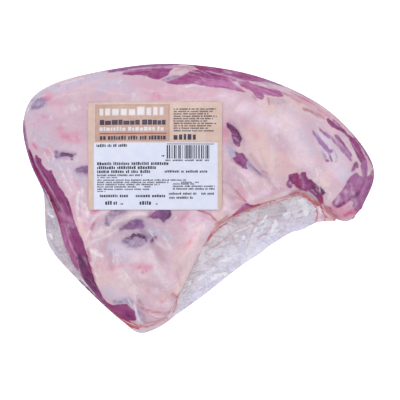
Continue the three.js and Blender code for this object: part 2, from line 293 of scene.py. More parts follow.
# Height, length, degrees and phase of each wave.
WAVES = [(0.55, 46, 20, 0.4), (0.45, 33, 78, 1.9), (0.4, 27, -38, 3.1), (0.3, 19, 55, 5.2)]
RELIEF_START = 9.0  # mm from the outline, from which the relief is whole

LABEL_LEFT, LABEL_BOTTOM = -82.4, -8.5
LABEL_WIDTH, LABEL_HEIGHT = 100.0, 80.0
LABEL_PRESS = 7.0  # mm over which the relief comes back beside the label


def turned(x, y, degrees):
    """The coordinates along and across a direction."""
    turn = math.radians(degrees)
    return x * math.cos(turn) + y * math.sin(turn), y * math.cos(turn) - x * math.sin(turn)


def relief_share(x, y):
    """How much relief is left: none where the label presses the fat smooth, all from 8 mm beside it."""
    dx = np.maximum(np.maximum(LABEL_LEFT - x, 0), x - LABEL_LEFT - LABEL_WIDTH)
    dy = np.maximum(np.maximum(LABEL_BOTTOM - y, 0), y - LABEL_BOTTOM - LABEL_HEIGHT)
    return ease((np.hypot(dx, dy) - 1) / LABEL_PRESS)


def relief(x, y):
    """The sum of the windows, which are eased ellipses, the folds, which are bell curves of the
    distance to a line, and the waves, which are sines."""
    height = np.zeros(np.shape(x))
    for cx, cy, long, short, degrees, depth in WINDOWS:
        along, across = turned(x - cx, y - cy, degrees)
        out = np.hypot(along / long, across / short)
        height -= depth * ease((WINDOW_FADE - out) / (WINDOW_FADE - WINDOW_FLAT))
    for path, width, depth in FOLDS:
        height -= depth * np.exp(-((path_distance(path, x, y) / width) ** 2))
    for size, length, degrees, phase in WAVES:
        height += size * np.sin(2 * np.pi * turned(x, y, degrees)[0] / length + phase)
    return height * relief_share(x, y)


def crown(x, y):
    """The smooth top of the fat cap, far from the edge."""
    return near(CROWN, CROWN_REACH, x, y)


def top_height(x, y, depth):
    """The top of the meat: from the edge's height a quarter circle up to the crown, plus relief."""
    rounded = quarter(depth / (EDGE_ROUND * near(SHOULDER, SHOULDER_REACH, x, y)))
    smooth = EDGE_HEIGHT + (crown(x, y) - EDGE_HEIGHT) * rounded
    return smooth + relief(x, y) * ease(depth / RELIEF_START)


print("the outline is", round(run_of(OUTER_SIDE)[-1] + run_of(INNER_SIDE)[-1]), "mm long")

# %% [markdown]
# ## Loops into closed skins
#
# The meat, the film over it and the free film are all made the same way: a stack of closed loops,
# from a point at one end to a point at the other. With the loops in one array, the faces between
# them are the same four numbers everywhere, so the whole mesh takes no loop over its vertices.

# %% A closed skin from loops
scene_objects = bpy.context.scene.collection.objects


def link_mesh(name, vertices, faces, values=None):
    """A smooth mesh object, in metres from millimetres, with a named attribute for each value."""
    mesh = bpy.data.meshes.new(name)
    mesh.from_pydata((np.asarray(vertices) * MM).tolist(), [], faces)
    mesh.polygons.foreach_set("use_smooth", np.ones(len(mesh.polygons), bool))
    for key, value in (values or {}).items():
        kind, field = ("FLOAT_VECTOR", "vector") if value.ndim == 2 else ("FLOAT", "value")
        attribute = mesh.attributes.new(key, kind, "POINT")
        attribute.data.foreach_set(field, np.ascontiguousarray(value, np.float32).ravel())
    mesh.update()
    piece = bpy.data.objects.new(name, mesh)
    scene_objects.link(piece)
    return piece


def poles_joined(grid):
    """The rows of a grid of loops as one list, with the first and the last loop as a point each."""
    grid = np.asarray(grid)
    middle = grid[1:-1].reshape(-1, *grid.shape[2:])
    return np.concatenate([grid[:1, 0], middle, grid[-1:, 0]])


def loop_faces(rows, around):
    """Faces between rows of loops: four corners between two loops, three at the two points."""
    number = 1 + np.arange((rows - 2) * around).reshape(rows - 2, around)
    beside = np.roll(number, -1, axis=1)
    quads = np.stack([number[:-1], beside[:-1], beside[1:], number[1:]], -1).reshape(-1, 4)
    last = number[-1, -1] + 1
    first_fan = np.stack([np.zeros(around, int), beside[0], number[0]], -1)
    last_fan = np.stack([number[-1], beside[-1], np.full(around, last)], -1)
    return quads, np.vstack([first_fan, last_fan])


def skin(name, grid, values=None):
    """A closed mesh from a grid of loops, with its faces outwards: they are turned round if the
    volume, the sum of the faces' triple products, comes out negative."""
    rows, around = grid.shape[:2]
    quads, fans = loop_faces(rows, around)
    vertices = poles_joined(grid)
    a, b, c = [vertices[quads[:, k]] for k in (0, 1, 2)]
    a2, b2, c2 = [vertices[quads[:, k]] for k in (0, 2, 3)]
    volume = np.sum(a * np.cross(b, c)) + np.sum(a2 * np.cross(b2, c2))
    if volume < 0:
        quads, fans = quads[:, ::-1], fans[:, ::-1]
    faces = quads.tolist() + fans.tolist()
    joined = {key: poles_joined(value) for key, value in (values or {}).items()}
    piece = link_mesh(name, vertices, faces, joined)
    print(name, "has", len(vertices), "vertices and", 2 * len(quads) + len(fans), "triangles")
    return piece


# %% [markdown]
# ## Rows across the meat
#
# A row starts on the outer side, goes over the top to the inner side, and comes back underneath. The
# shoulders are steep, so the vertices crowd together there: along a shoulder they step by the angle
# of a quarter circle, and between the shoulders by equal distances.

# %% The rows of the meat
MEAT_ROWS = 340
TOP_COLUMNS = 226
SHOULDER_COLUMNS = 26  # of those, on each shoulder
BASE_COLUMNS = 44
BASE_SHOULDER = 12  # of those, on each lower edge
SHOULDER_WIDTH = 1.2 * EDGE_ROUND
WIDEST_SHOULDER = 0.42  # of a row


def row_places(columns, shoulder, edge):
    """Shares across each row: on the two shoulders 1 minus a cosine, and even between them. edge is
    the share of the row that a shoulder takes."""
    k = np.arange(columns + 1)
    rising = 1 - np.cos(0.5 * np.pi * np.minimum(k, shoulder) / shoulder)
    falling = rising[::-1]
    middle = np.clip((k - shoulder) / (columns - 2 * shoulder), 0, 1)
    e = edge[:, None]
    return e * rising + (1 - 2 * e) * middle + e * (1 - falling)


def meat_rows():
    """The x and y of the top and the underside of every row, and how far in from the outline each
    vertex is. The shoulder of a row is as wide as the rounding there, but under half the row."""
    share = np.linspace(0, 1, MEAT_ROWS + 1)
    a, b = at_share(OUTER_SIDE, share), at_share(INNER_SIDE, step(FACING, share))
    span = np.maximum(np.hypot(*(b - a).T), 1e-6)
    sheets = []
    for columns, shoulder, wide in (
        (TOP_COLUMNS, SHOULDER_COLUMNS, SHOULDER_WIDTH),
        (BASE_COLUMNS, BASE_SHOULDER, BASE_ROUND),
    ):
        s = row_places(columns, shoulder, np.minimum(wide / span, WIDEST_SHOULDER))[..., None]
        sheets.append(a[:, None] + s * (b - a)[:, None])
    return sheets


def rim_depth(xy):
    """How far in from the outline the vertices of a sheet are, exactly 0 along its two sides."""
    depth = path_distance(OUTLINE, xy[..., 0], xy[..., 1])
    depth[:, [0, -1]] = 0
    depth[[0, -1]] = 0
    return depth


top_xy, base_xy = meat_rows()
top_depth, base_depth = rim_depth(top_xy), rim_depth(base_xy)
print("the deepest place is", round(float(top_depth.max())), "mm from the outline")

# %% [markdown]
# ## What shows on the fat cap
#
# The photograph shows lean in strips along the edges and in windows of the fat, and lilac where it
# shines through a thin layer of fat. Each patch is outlined below in pixels of the photograph, as
# seen in it. From these outlines every vertex gets a few numbers, and the material turns them into
# colour, so that noise can fray the borders finer than the mesh is.

# %% Patches of lean
LEAN = {  # name: how light the lean is, how lilac with silverskin, then x, y of the outline's points
    "crest_left": (0.3, 0.35, 108, 72, 108, 66, 130, 60, 150, 56, 187, 56, 186, 63.8, 180, 64.2, 173, 65,
        165, 65.6, 158, 66, 150, 66.4, 140, 67.6, 130, 68.9, 120, 70.6, 113, 71.6),
    "top_left": (0.42, 0.08, 121.5, 74.2, 124, 71.4, 130, 69.7, 138, 68.4, 150, 67.4, 160, 66.8, 167, 66.6,
        172, 66.4, 173.4, 68.4, 169.8, 70.6, 168.8, 72.6, 168.6, 74.4, 166, 76.2, 162, 78, 158, 79.2,
        154.5, 79, 150, 77.2, 146, 75.8, 141, 75, 136, 74.6, 130, 75, 126.5, 74.6),
    "crest_middle": (0.55, 0, 186, 56, 188, 64.4, 194, 65.6, 198, 69, 203, 71, 208, 72, 214, 72.8,
        219, 73.2, 228, 73, 230, 58),
    "crest_right": (0.55, 0.1, 222, 74.6, 226, 72, 230, 60, 266, 70, 268, 81, 262, 81.6, 258, 81.4,
        250, 80.8, 243, 79.8, 236, 78.2, 230, 76.6),
    "top_right": (0.56, 0.06, 163.4, 81.4, 168, 83, 172, 84.1, 178, 84.5, 184, 84.2, 190, 83.8, 194, 83.4,
        198, 84.8, 205, 85.8, 212, 86.8, 220, 87.4, 228, 88.6, 235, 90, 240, 91.4, 245.4, 91.8, 243.4, 89.6,
        240, 87.4, 236, 84.6, 232.4, 81.4, 238, 80.6, 232, 77.4, 226, 74.4, 214, 71, 204, 69.4, 197, 69.2,
        190, 70.6, 188, 72.4, 184, 74.4, 180, 76.2, 174, 78.8, 170, 80.8),
    "strip": (0.72, 0.06, 238, 80.8, 242, 80.2, 246, 80.6, 250, 82, 253, 84, 257, 84.6, 262, 85.8,
        268, 87.4, 273, 88.6, 278, 89.8, 281.8, 92.4, 284, 96, 278, 96.4, 272, 95.8, 268, 95, 264, 93.4,
        258, 92.6, 255, 92.6, 251, 90.4, 246, 88.6, 241, 86.4),
    "chip": (0.66, 0.12, 253.6, 91.6, 258, 91.4, 262.4, 93.2, 264.2, 96, 262.4, 99.6, 259.5, 99.2,
        255.8, 96.6),
    "rim_right": (0.6, 0.5, 262, 70, 263, 80.2, 270, 82.6, 280, 85.6, 287, 86, 292, 84, 300, 70),
    "rim_nose": (0.5, 0.3, 352, 133, 360, 144.6, 368, 157.6, 374, 168, 390, 170, 380, 130, 360, 124),
    "right_outer": (0.36, 0.1, 326.5, 118.5, 328.5, 117.5, 330, 119.5, 334, 121.5, 337, 125, 341, 126.5,
        345, 130, 348, 133.5, 352, 136, 356, 139, 360, 144.5, 362, 149, 364, 154, 366, 159, 365, 163,
        362, 163, 359, 160, 356, 153, 353, 147, 350.5, 142, 349, 137.5, 345.5, 134.5, 343, 131.5,
        340, 130.5, 336, 129, 331, 126, 328, 122.5),
    "right_brown": (0.75, 0, 332, 118, 335, 119.6, 339, 123.5, 342.5, 127, 341, 127.4, 337, 123.6,
        333, 120),
    "right_lower": (0.58, 0.25, 361.4, 159, 366.5, 158, 367.8, 164, 368, 170, 367.5, 175, 366, 179,
        363, 178, 362.4, 173, 361.2, 167),
    "right_middle": (0.5, 0.3, 334.5, 134.5, 338, 135.3, 341, 139.3, 344.4, 143.5, 347.4, 148, 350, 151.4,
        352, 155, 352.6, 159, 350.2, 157, 347, 152.7, 343.5, 148.2, 339.5, 142.7, 336.5, 138.5),
    "right_inner": (0.58, 0.4, 318, 126.3, 320.5, 127.2, 323, 130.6, 326, 132, 330, 135, 334, 138.6,
        337, 141.8, 341, 146.2, 345, 150.8, 349, 155.8, 352.4, 160.6, 350.3, 161, 346, 156, 341, 150,
        336, 144.5, 332, 140.3, 327.6, 137.6, 324, 134.4, 320, 130.8),
    "right_chip": (0.48, 0.25, 353, 166, 354, 163.5, 357, 161.2, 358.8, 164, 359.2, 167, 357.5, 169,
        356, 167.6, 354.5, 171.8, 350.6, 171.8, 352, 168.5),
    "right_violet": (0.6, 0.5, 312, 130, 314.5, 131.5, 317, 135.5, 320, 139, 323.5, 141.5, 327, 145,
        330, 149.5, 333, 149, 333.2, 152, 331, 153.2, 329.5, 152.4, 331, 156, 333.2, 161.5, 331.5, 161.8,
        329.5, 157, 328, 152.5, 325, 150.4, 321.5, 146, 319, 143.5, 317, 139, 313.5, 135),
    "right_spot": (0.45, 0.3, 325.6, 159.4, 328, 159.2, 329.2, 161.8, 327.2, 162.6, 326, 161.4),
    "nose": (0.6, 0.24, 356.2, 173, 358.2, 173, 360, 176.2, 364, 177.2, 367, 176, 370, 174.8, 372, 170,
        386, 170, 384, 190, 376, 208, 368, 220, 358, 226, 356.6, 219, 357.4, 213, 355, 210.4, 352.6, 206,
        354.4, 202, 351, 200.4, 348, 202.6, 344.6, 205.4, 340, 207.4, 337, 208.6, 334.6, 207.8, 332.4, 206,
        331.8, 203.8, 333.8, 200, 337.5, 196.2, 341.2, 191.8, 345, 186.4, 347.4, 181.2, 350, 177,
        353, 175.2),
    "bend": (0.3, 0.08, 288.4, 175.6, 290.6, 174, 294, 173.2, 297.6, 173.2, 299.4, 175.6, 301.6, 172.4,
        305.6, 172.2, 306.6, 176, 308, 179.3, 311, 179.8, 313.6, 182.8, 317, 185.3, 319.2, 188, 319.6, 193,
        319.2, 198, 318.2, 201.4, 315, 197.6, 312, 194.6, 309.4, 192.6, 306, 192.6, 303, 191, 300, 190,
        297, 187.8, 294.6, 185, 292, 183.4, 292.6, 186, 291, 188, 288, 187.4, 286, 185.4, 287, 182,
        288.6, 179.4),
    "bend_stem": (0.3, 0.1, 318.4, 194, 320.8, 194.6, 322.8, 197, 323.2, 202, 321.8, 208, 319.4, 203,
        318, 200),
    "bend_spot": (0.02, 0.1, 319.8, 186.4, 322, 188.4, 324.6, 190.8, 325.6, 193.6, 322.4, 195.6,
        320, 193.2),
    "under_lobe": (0.52, 0.05, 237.6, 210.6, 239, 208, 241.8, 206.4, 243.4, 204.2, 246.5, 203.4, 250, 204.8,
        254, 205.2, 258.6, 204.4, 261, 204, 258.4, 206, 253.6, 207.8, 250.4, 208, 247, 208.6, 242, 211.4,
        237.6, 214.6, 233, 217.8, 228, 221, 221.4, 225.2, 218, 227, 220.6, 224, 227, 220, 232, 216.4,
        235, 213.4),
    "window_upper": (0.12, 0.15, 226.4, 123, 228.5, 122.4, 231, 124.3, 234, 126.8, 236.7, 130, 239.2, 133,
        241, 136.5, 241.5, 140, 240.6, 142.6, 240, 146.2, 238, 146.2, 236, 145.2, 233.4, 142.7,
        232.4, 139.5, 232.2, 136.5, 231.8, 133, 229.8, 130, 227.4, 127),
    "window_lower": (0.28, 0.2, 234.6, 150.8, 237, 152.3, 240, 153.3, 243, 153.3, 245, 156.8, 247.8, 160.3,
        246.2, 162.6, 246.2, 165, 247.4, 168.8, 243, 167.7, 239, 165.2, 235.4, 161.7, 232.8, 158.2,
        236.2, 157, 235.5, 154),
    "window_label": (0.02, 0.3, 149.4, 217.4, 153.2, 213.2, 157.2, 210.4, 159, 208, 170.4, 208,
        171.8, 214.6, 169, 218.6, 166, 219.8, 164, 222.2, 161.2, 220.6, 159, 218.4, 155, 218.8),
    "window_left": (0.16, 0.5, 121.2, 228.8, 124, 226.4, 127.4, 224.4, 131, 220.8, 136, 219.4, 141, 221.4,
        144.4, 225.6, 142.6, 228.8, 138, 228.4, 132, 230, 125, 229.2),
    "veil_line": (-0.1, 0.15, 129.6, 236.8, 133.6, 233, 136, 234.2, 140, 233.6, 145.2, 236.6, 144.8, 239,
        141, 238.2, 137.6, 236.8, 134.4, 236.6, 131, 238.2),
    "veil_spot": (0.15, 0.3, 150.4, 240.4, 152.6, 237.8, 155.2, 236, 155.6, 238.2, 153.4, 240.6,
        151.4, 241.8),
    "dark_dash": (-0.12, 0.3, 59, 155.4, 60.4, 152.8, 63, 151.8, 66, 152.6, 69.4, 153, 72.2, 154.2,
        73.2, 156, 71.4, 157.8, 68.6, 156.6, 65, 156, 61.6, 156.8),
    "dash_left": (0.3, 0.6, 54.4, 150.8, 58, 150.6, 57.8, 153, 54.8, 153.4),
    "dash_lower": (0.2, 0.5, 53.8, 155.2, 57.4, 155, 58.6, 157.6, 56, 158.6, 54.2, 157.4),
    "dash_right": (0.2, 0.5, 72.4, 153.8, 75.8, 153.6, 75.4, 155, 73.4, 155.4),
    "dash_drop": (0.2, 0.5, 70.6, 158, 72.8, 157.8, 72.8, 160, 71, 160),
    "label_left": (0.1, 0.5, 74.4, 170, 77, 168.2, 80, 168.6, 82, 166.6, 86, 165.8, 89, 165.6, 89, 172.4,
        86, 173.8, 83, 172.6, 79.6, 172),
    "left_pink": (0.6, 0.12, 58, 220, 62, 220, 65, 224, 67.4, 230, 69.4, 238, 72.4, 246, 75, 253, 77.4, 260,
        79, 268, 79.6, 273, 76.6, 271, 72.6, 263, 68.6, 254.6, 64.6, 246, 61, 238, 58, 230),
    "left_top": (0.34, 0, 51.6, 205, 57, 207, 62, 214, 64.6, 221, 64, 227, 60, 226, 55, 222, 52.4, 214),
    "left_band": (0.26, 0.06, 35.6, 153.6, 38, 157.4, 40.9, 158.2, 41.4, 163.4, 45, 168.6, 48.6, 170.8,
        51.5, 170, 52.8, 174, 55.2, 179, 57.2, 184, 60.2, 188.4, 64.2, 194, 67.2, 199, 70.2, 206,
        71.6, 212.6, 73.6, 220, 77.4, 230, 82.2, 239.4, 83.8, 244, 85.4, 250, 87, 255, 88.6, 260, 90.6, 267,
        92.6, 274, 94.6, 281, 97.6, 288, 100, 292.4, 102.4, 297, 105.6, 301.2, 109, 304.8, 110, 309,
        104, 308, 96, 304, 88, 297, 78, 290, 76, 284, 81, 276, 78.4, 268, 76.4, 260, 74, 253, 71.4, 246,
        68.4, 238, 66.4, 230, 64.4, 223, 62, 216, 60, 210, 57.4, 205, 54.6, 199, 52.2, 194, 48.8, 189,
        46.2, 184, 43.4, 179, 40.4, 173.4, 37, 167.6, 34.8, 162.6, 34.2, 157.6),
    "left_outer": (0.12, 0, 27.2, 146, 30.8, 152, 32.8, 158, 34.8, 164, 37.8, 169.4, 41.4, 175.6, 46, 183,
        50, 188, 53, 193.4, 55.6, 199.4, 58.6, 206, 61.4, 212, 62.6, 218, 58, 216, 54, 209.6, 51, 203,
        48, 196, 44.6, 190, 40, 184, 36.4, 177.4, 33.4, 172, 30.8, 166, 28.6, 159, 26.6, 150),
    "left_edge": (0.3, 0.5, 14, 118, 23.6, 118, 24.6, 126, 26, 136, 28, 146, 30.6, 155, 34, 165, 36, 172,
        40, 180, 44.6, 188, 46, 194, 40, 194, 30, 186, 20, 172, 14, 150),
    "tail": (0.32, 0.03, 101, 297, 105, 301.4, 110, 304.7, 114, 305.8, 118, 304.7, 124, 304, 128, 304.4,
        131, 308, 134, 310.8, 135.2, 315, 136.4, 319.2, 134.6, 321.4, 130.6, 321, 127, 322.2, 122, 321.4,
        118, 320, 112, 317, 106, 312, 100, 306, 94, 300),
}
print(len(LEAN), "patches of lean")

# %% [markdown]
# Veils are where the fat over the lean is thin. Along the sides, fat and lean run in streaks, which
# noise draws inside a zone.

# %% Veils and zones of streaks
VEIL = [  # how strongly lean shines through the fat, then x, y of the outline's points
    (0.62, 246, 160.5, 249, 162, 252, 165.5, 256, 169, 261, 173, 266, 177, 260, 177, 254, 173.5, 249, 170,
    246, 168.5, 246, 164), (0.72, 122, 239.8, 128.3, 235.2, 134, 232.9, 140.9, 233, 148, 234.5, 152, 238,
    146, 243, 140.9, 247.2, 132.9, 248, 124, 246.1, 119, 242), (0.36, 119, 226, 128.3, 219.3, 136, 217,
    144, 219.5, 147, 224.9, 150, 233, 133, 233.4, 122, 231), (0.62, 112, 209, 107, 214, 104.6, 219.7,
    105.6, 226.5, 108, 226, 112, 221.4, 118, 215.4, 128, 209), (0.9, 153, 240.5, 152.4, 237.5, 157, 236.5,
    156, 240), (0.26, 112, 226, 118, 216, 130, 213, 150, 216, 156, 228, 158, 240, 152, 250, 138, 253,
    120, 250, 112, 240), (0.68, 29.4, 106, 31, 99.6, 36, 97.4, 42.4, 96.4, 49.8, 99, 48.2, 102, 44, 106.8,
    37.4, 109, 30.8, 110.6), (0.6, 74, 170.5, 80, 166.4, 89, 165, 89, 176, 82, 176, 77, 174),
    (0.35, 55, 155, 60, 152, 68, 151, 74, 153, 74, 158, 68, 158.6, 60, 159), (0.3, 146, 213, 152, 207,
    173, 207, 174, 219, 165, 224, 154, 221), (0.4, 266, 97, 274, 97.6, 284, 98, 291, 101, 286, 103.5,
    276, 104.6, 268, 103), (0.55, 112, 301, 121, 300, 128, 296.5, 134, 301, 134, 305, 124, 304, 114, 305),
    (0.55, 256, 83, 264, 84.4, 271, 85.6, 268, 82, 260, 80), (0.5, 266, 79, 280, 84, 292, 89.6, 304, 96,
    306, 90, 280, 74), (0.4, 138, 307, 141, 309, 146, 318, 145, 324, 140, 321, 138, 314), (0.62, 160, 79.6,
    165, 77.6, 170, 76.6, 178, 75, 184, 75, 180, 77, 172, 80.4, 166, 81.4), (0.4, 322, 153, 325, 154,
    326, 161, 323, 159), (0.6, 324, 196, 328.8, 191.6, 329, 194, 326, 197), (0.25, 226, 140, 234, 141,
    236, 150, 234, 157, 229, 156, 226, 148), (0.4, 108, 252, 114, 250.6, 114, 255, 109, 255.6),
    (0.5, 308, 191, 312, 194, 316.6, 200, 312, 198),
]
SINEW = [  # how much lean there is in a zone of streaks, then x, y of the outline's points
    (0.4, 98, 50, 100, 73, 118, 74, 135, 70, 165, 69, 186, 71, 200, 67, 206, 55, 150, 45), (0.3, 203, 62,
    216, 70, 232, 74, 250, 80, 262, 86, 285, 97, 303, 110, 322, 118, 332, 126, 352, 136, 372, 165, 384, 150,
    340, 90, 250, 55), (0.22, 312, 124, 322, 118, 334, 124, 350, 137, 362, 153, 367, 172, 352, 172,
    346, 160, 334, 148, 320, 138), (0.5, 14, 140, 26, 142, 29, 150, 36, 160, 44, 176, 54, 192, 60, 214,
    66, 236, 74, 262, 84, 286, 100, 306, 80, 300, 50, 250, 30, 190), (0.3, 106, 303, 118, 316, 133, 324,
    142, 327, 160, 322, 172, 314, 180, 300, 186, 290, 196, 300, 160, 350, 100, 330), (0.42, 219, 222,
    240, 209, 262, 202, 282, 196, 298, 191, 310, 196, 320, 202, 332, 207, 341, 216, 330, 226, 300, 210,
    240, 226, 216, 240),
]
print(len(VEIL), "veils and", len(SINEW), "zones of streaks")

# %% [markdown]
# Blots, streaks and ridges are simpler than outlines: a line with a width. A blot is a short fat
# line. Lines of one kind share a colour, and a number on each vertex says how near it is. The first
# kinds tint the fat: its zones of cream, lilac and pink, blood, lean close under it, the painted
# highlight and shade of the film's wrinkles, and the painted white highlights of its creases.

# %% Lines that tint the fat
STROKES = {}  # kind: lines, each with its width in mm, its strength, then x, y of its points
# Zone of the film's fine wrinkles, where a painted highlight and painted shade go.
STROKES["wrinkle_light_and_shade"] = [  # where the film lies in fine wrinkles
    (12, 1, 56, 150, 68, 190, 85, 225), (13, 1, 90, 230, 130, 236, 180, 226), (11, 0.8, 100, 258, 140, 280,
    165, 300), (8, 0.8, 228, 160, 250, 190, 284, 186), (8, 0.7, 212, 205, 192, 240), (5, 0.9, 30, 108,
    44, 90, 80, 78), (6, 0.8, 310, 172, 324, 186, 330, 204),
]
STROKES["violet"] = [  # lean close under the fat
    (0.9, 0.9, 126, 238.6, 132, 237.8), (1.1, 1, 131.6, 238.6, 136.6, 234.2, 144.6, 236, 146, 240.4),
    (0.9, 1, 152, 241.4, 155.4, 238), (1.2, 0.7, 123.4, 241.4, 127.6, 243.2), (1.2, 0.8, 120.6, 229.4,
    128, 226, 133, 220.4, 142, 221), (1.6, 0.45, 141, 244, 136, 246.4, 128, 246), (1.6, 0.4, 140, 230,
    147, 234, 153, 236), (1, 0.7, 106.2, 216, 105.6, 223.6, 109, 225.4), (3, 0.5, 109, 216, 116, 212,
    124, 210.6), (1.2, 0.7, 91.6, 228, 95, 222), (1.2, 0.6, 31, 107.6, 38, 107, 45, 104), (2, 0.4, 34, 100,
    42, 97.6), (1, 0.6, 56, 152.4, 60, 155.6, 57, 158), (0.8, 0.6, 72, 153.6, 76, 154), (0.7, 0.8, 250, 165,
    255, 169.6, 260, 174), (1.2, 0.6, 76, 171, 82, 168, 88, 169), (1, 0.6, 148, 217.4, 154, 212.6,
    158, 209.6), (0.8, 0.5, 317, 134, 321, 139.6), (0.7, 0.4, 334, 150, 337, 156, 336, 162),
    (0.9, 0.5, 323, 152, 326, 158), (0.7, 0.5, 304, 109, 311, 111, 318, 116), (1, 0.5, 137.4, 308,
    138.6, 316), (1.2, 0.5, 114, 302, 121, 302.4), (0.9, 0.4, 282, 92, 292, 97, 300, 102),
    (0.7, 0.6, 164, 79.4, 172, 76.4, 180, 75.6),
]
# Painted highlight: white glints where the film is creased.
STROKES["glint"] = [  # white where the film is creased
    (0.43, 0.9, 148.6, 229.8, 153, 236, 156.4, 243), (0.43, 0.8, 162, 235.6, 166, 240, 169.6, 247),
    (1.15, 1, 94, 252, 98, 254.6, 102, 256), (0.65, 0.9, 90, 249.4, 93, 254), (0.5, 0.7, 104, 238, 112, 233,
    118, 229), (0.58, 0.9, 79, 192, 77.6, 200, 78.4, 210), (0.43, 0.9, 84, 190, 81, 197),
    (0.43, 0.7, 85, 203, 88, 210, 88, 218), (0.43, 0.8, 96, 215.6, 92.6, 221), (0.43, 0.8, 86.6, 236,
    90, 231), (0.5, 0.7, 112, 250, 114, 256, 113, 262), (0.36, 0.7, 118, 254, 121, 260),
    (0.5, 0.7, 125, 272, 131, 282, 136, 288), (0.5, 0.6, 150, 250, 157, 262, 164, 274),
    (0.43, 0.8, 134, 304, 136.6, 312, 139, 320), (0.43, 0.7, 62, 172, 66, 182, 72, 192),
    (0.36, 0.6, 58, 164, 63, 172), (0.36, 0.6, 68, 168, 72, 178), (0.36, 0.6, 48, 148, 54, 156, 52, 164),
    (0.36, 0.6, 44, 152, 48, 160), (0.43, 0.6, 30, 104, 36, 98, 46, 94), (0.43, 0.6, 27, 112, 30, 106),
    (0.5, 0.7, 44, 88, 56, 82.4, 72, 78), (0.36, 0.6, 60, 84, 84, 77.4), (0.43, 0.7, 244, 180, 249, 189),
    (0.29, 0.8, 316, 168, 318, 174, 316, 180), (0.29, 0.7, 319, 167, 322, 173), (0.43, 0.6, 324, 190,
    330, 193), (0.5, 0.9, 322, 205, 324, 212), (0.5, 0.8, 150, 314, 158, 317.6, 166, 317),
    (0.43, 0.9, 128, 300, 131, 304), (0.43, 0.6, 186, 86.6, 196, 84.8), (0.36, 0.6, 312, 190, 316, 194),
]
STROKES["warm"] = [  # cream zones of the fat
    (5, 0.7, 262, 102, 286, 100, 310, 112), (12, 0.4, 268, 140, 280, 172), (12, 0.8, 255, 135, 268, 160,
    290, 165), (12, 0.45, 130, 285, 160, 275, 190, 248), (7, 0.5, 245, 190, 275, 180), (8, 0.5, 95, 260,
    108, 282), (9, 0.75, 268, 108, 292, 130), (9, 0.5, 180, 250, 160, 300), (7, 0.4, 310, 165, 300, 150),
    (7, 0.35, 218, 165, 226, 190), (4, 0.6, 318, 172, 326, 188), (2.4, 0.8, 100, 232, 118, 221, 134, 214,
    146, 214), (4, 0.8, 118, 268, 126, 282, 136, 296), (3, 0.5, 172, 72, 182, 73),
]
STROKES["cool"] = [  # its lilac zones
    (20, 0.42, 40, 108, 55, 140, 70, 170), (12, 0.35, 120, 84, 140, 90), (12, 0.4, 290, 118, 318, 150),
    (6, 0.4, 98, 206, 120, 204, 160, 206), (5, 0.3, 200, 214, 206, 220), (8, 0.35, 116, 258, 140, 250),
    (7, 0.7, 325, 140, 340, 165, 345, 178), (6, 0.5, 295, 128, 312, 150), (7, 0.7, 112, 246, 128, 256),
    (6, 0.6, 148, 226, 168, 236), (5, 0.8, 108, 290, 126, 300), (4, 0.5, 76, 178, 84, 184),
    (3.2, 0.75, 55, 90, 66, 86, 90, 79, 112, 72), (3, 1, 30, 101, 40, 91, 52, 86), (7, 0.6, 52, 160,
    68, 170, 82, 182), (5, 0.4, 108, 222, 120, 212), (3, 1, 229, 148, 234, 156), (2.4, 1, 118, 302,
    132, 302), (3, 0.4, 150, 262, 160, 288), (2.2, 0.9, 136, 310, 139, 320), (1.6, 0.35, 186, 87, 193, 85.4,
    206, 85.6), (3, 0.8, 44, 146, 40, 144), (1.6, 1, 246, 162, 250, 166), (7, 0.6, 96, 86, 112, 84),
    (2.4, 0.9, 344, 172, 352, 173), (1.2, 0.5, 170, 77, 183, 75), (1.6, 0.7, 28, 108, 26, 116),
    (8, 0.5, 36, 130, 50, 140),
]
STROKES["rose"] = [  # its pink zones
    (2.7, 0.75, 75, 184, 73, 200, 75, 212, 79, 222, 86, 233), (1.7, 1, 84, 204, 84.5, 217),
    (1.5, 1, 88, 214, 95, 211.5), (1.3, 0.7, 148, 218, 151, 212), (6, 0.35, 146, 86, 150, 97),
    (6, 0.4, 160, 84, 172, 96), (6, 0.4, 184, 94, 200, 98, 215, 92), (3.5, 0.7, 224, 128, 225, 140),
    (3, 0.4, 243, 120, 246, 128), (2.6, 0.5, 252, 130, 257, 137), (4, 0.3, 283, 150, 288, 170),
    (1.5, 0.8, 254.5, 106, 256, 112), (4, 0.35, 36, 122, 60, 120), (3, 0.45, 50, 101, 60, 104),
    (2.6, 0.45, 44, 90, 50, 97), (2.4, 0.75, 240, 190, 249, 200), (1.8, 0.6, 253, 197, 256, 194),
    (2.8, 0.5, 268, 193, 284, 187), (2.8, 0.35, 296, 97, 312, 104), (6, 0.25, 100, 262, 110, 275),
    (1.6, 0.5, 92, 244, 90, 236), (2.4, 0.4, 330, 176, 340, 184), (3.4, 0.9, 334, 206, 344, 213),
    (2.4, 0.5, 314, 108, 330, 116), (2.6, 0.6, 262, 202, 240, 205, 228, 216), (2.6, 0.5, 346, 122,
    372, 162), (1.2, 0.4, 252, 101, 262, 107, 262, 96), (2, 0.5, 330, 114, 346, 128), (5, 0.25, 174, 291,
    160, 303), (2.4, 0.6, 88, 222, 84, 232), (3, 0.5, 202, 218, 212, 224), (2.4, 0.4, 174, 276, 182, 284),
    (2, 0.4, 60, 184, 68, 196),
]
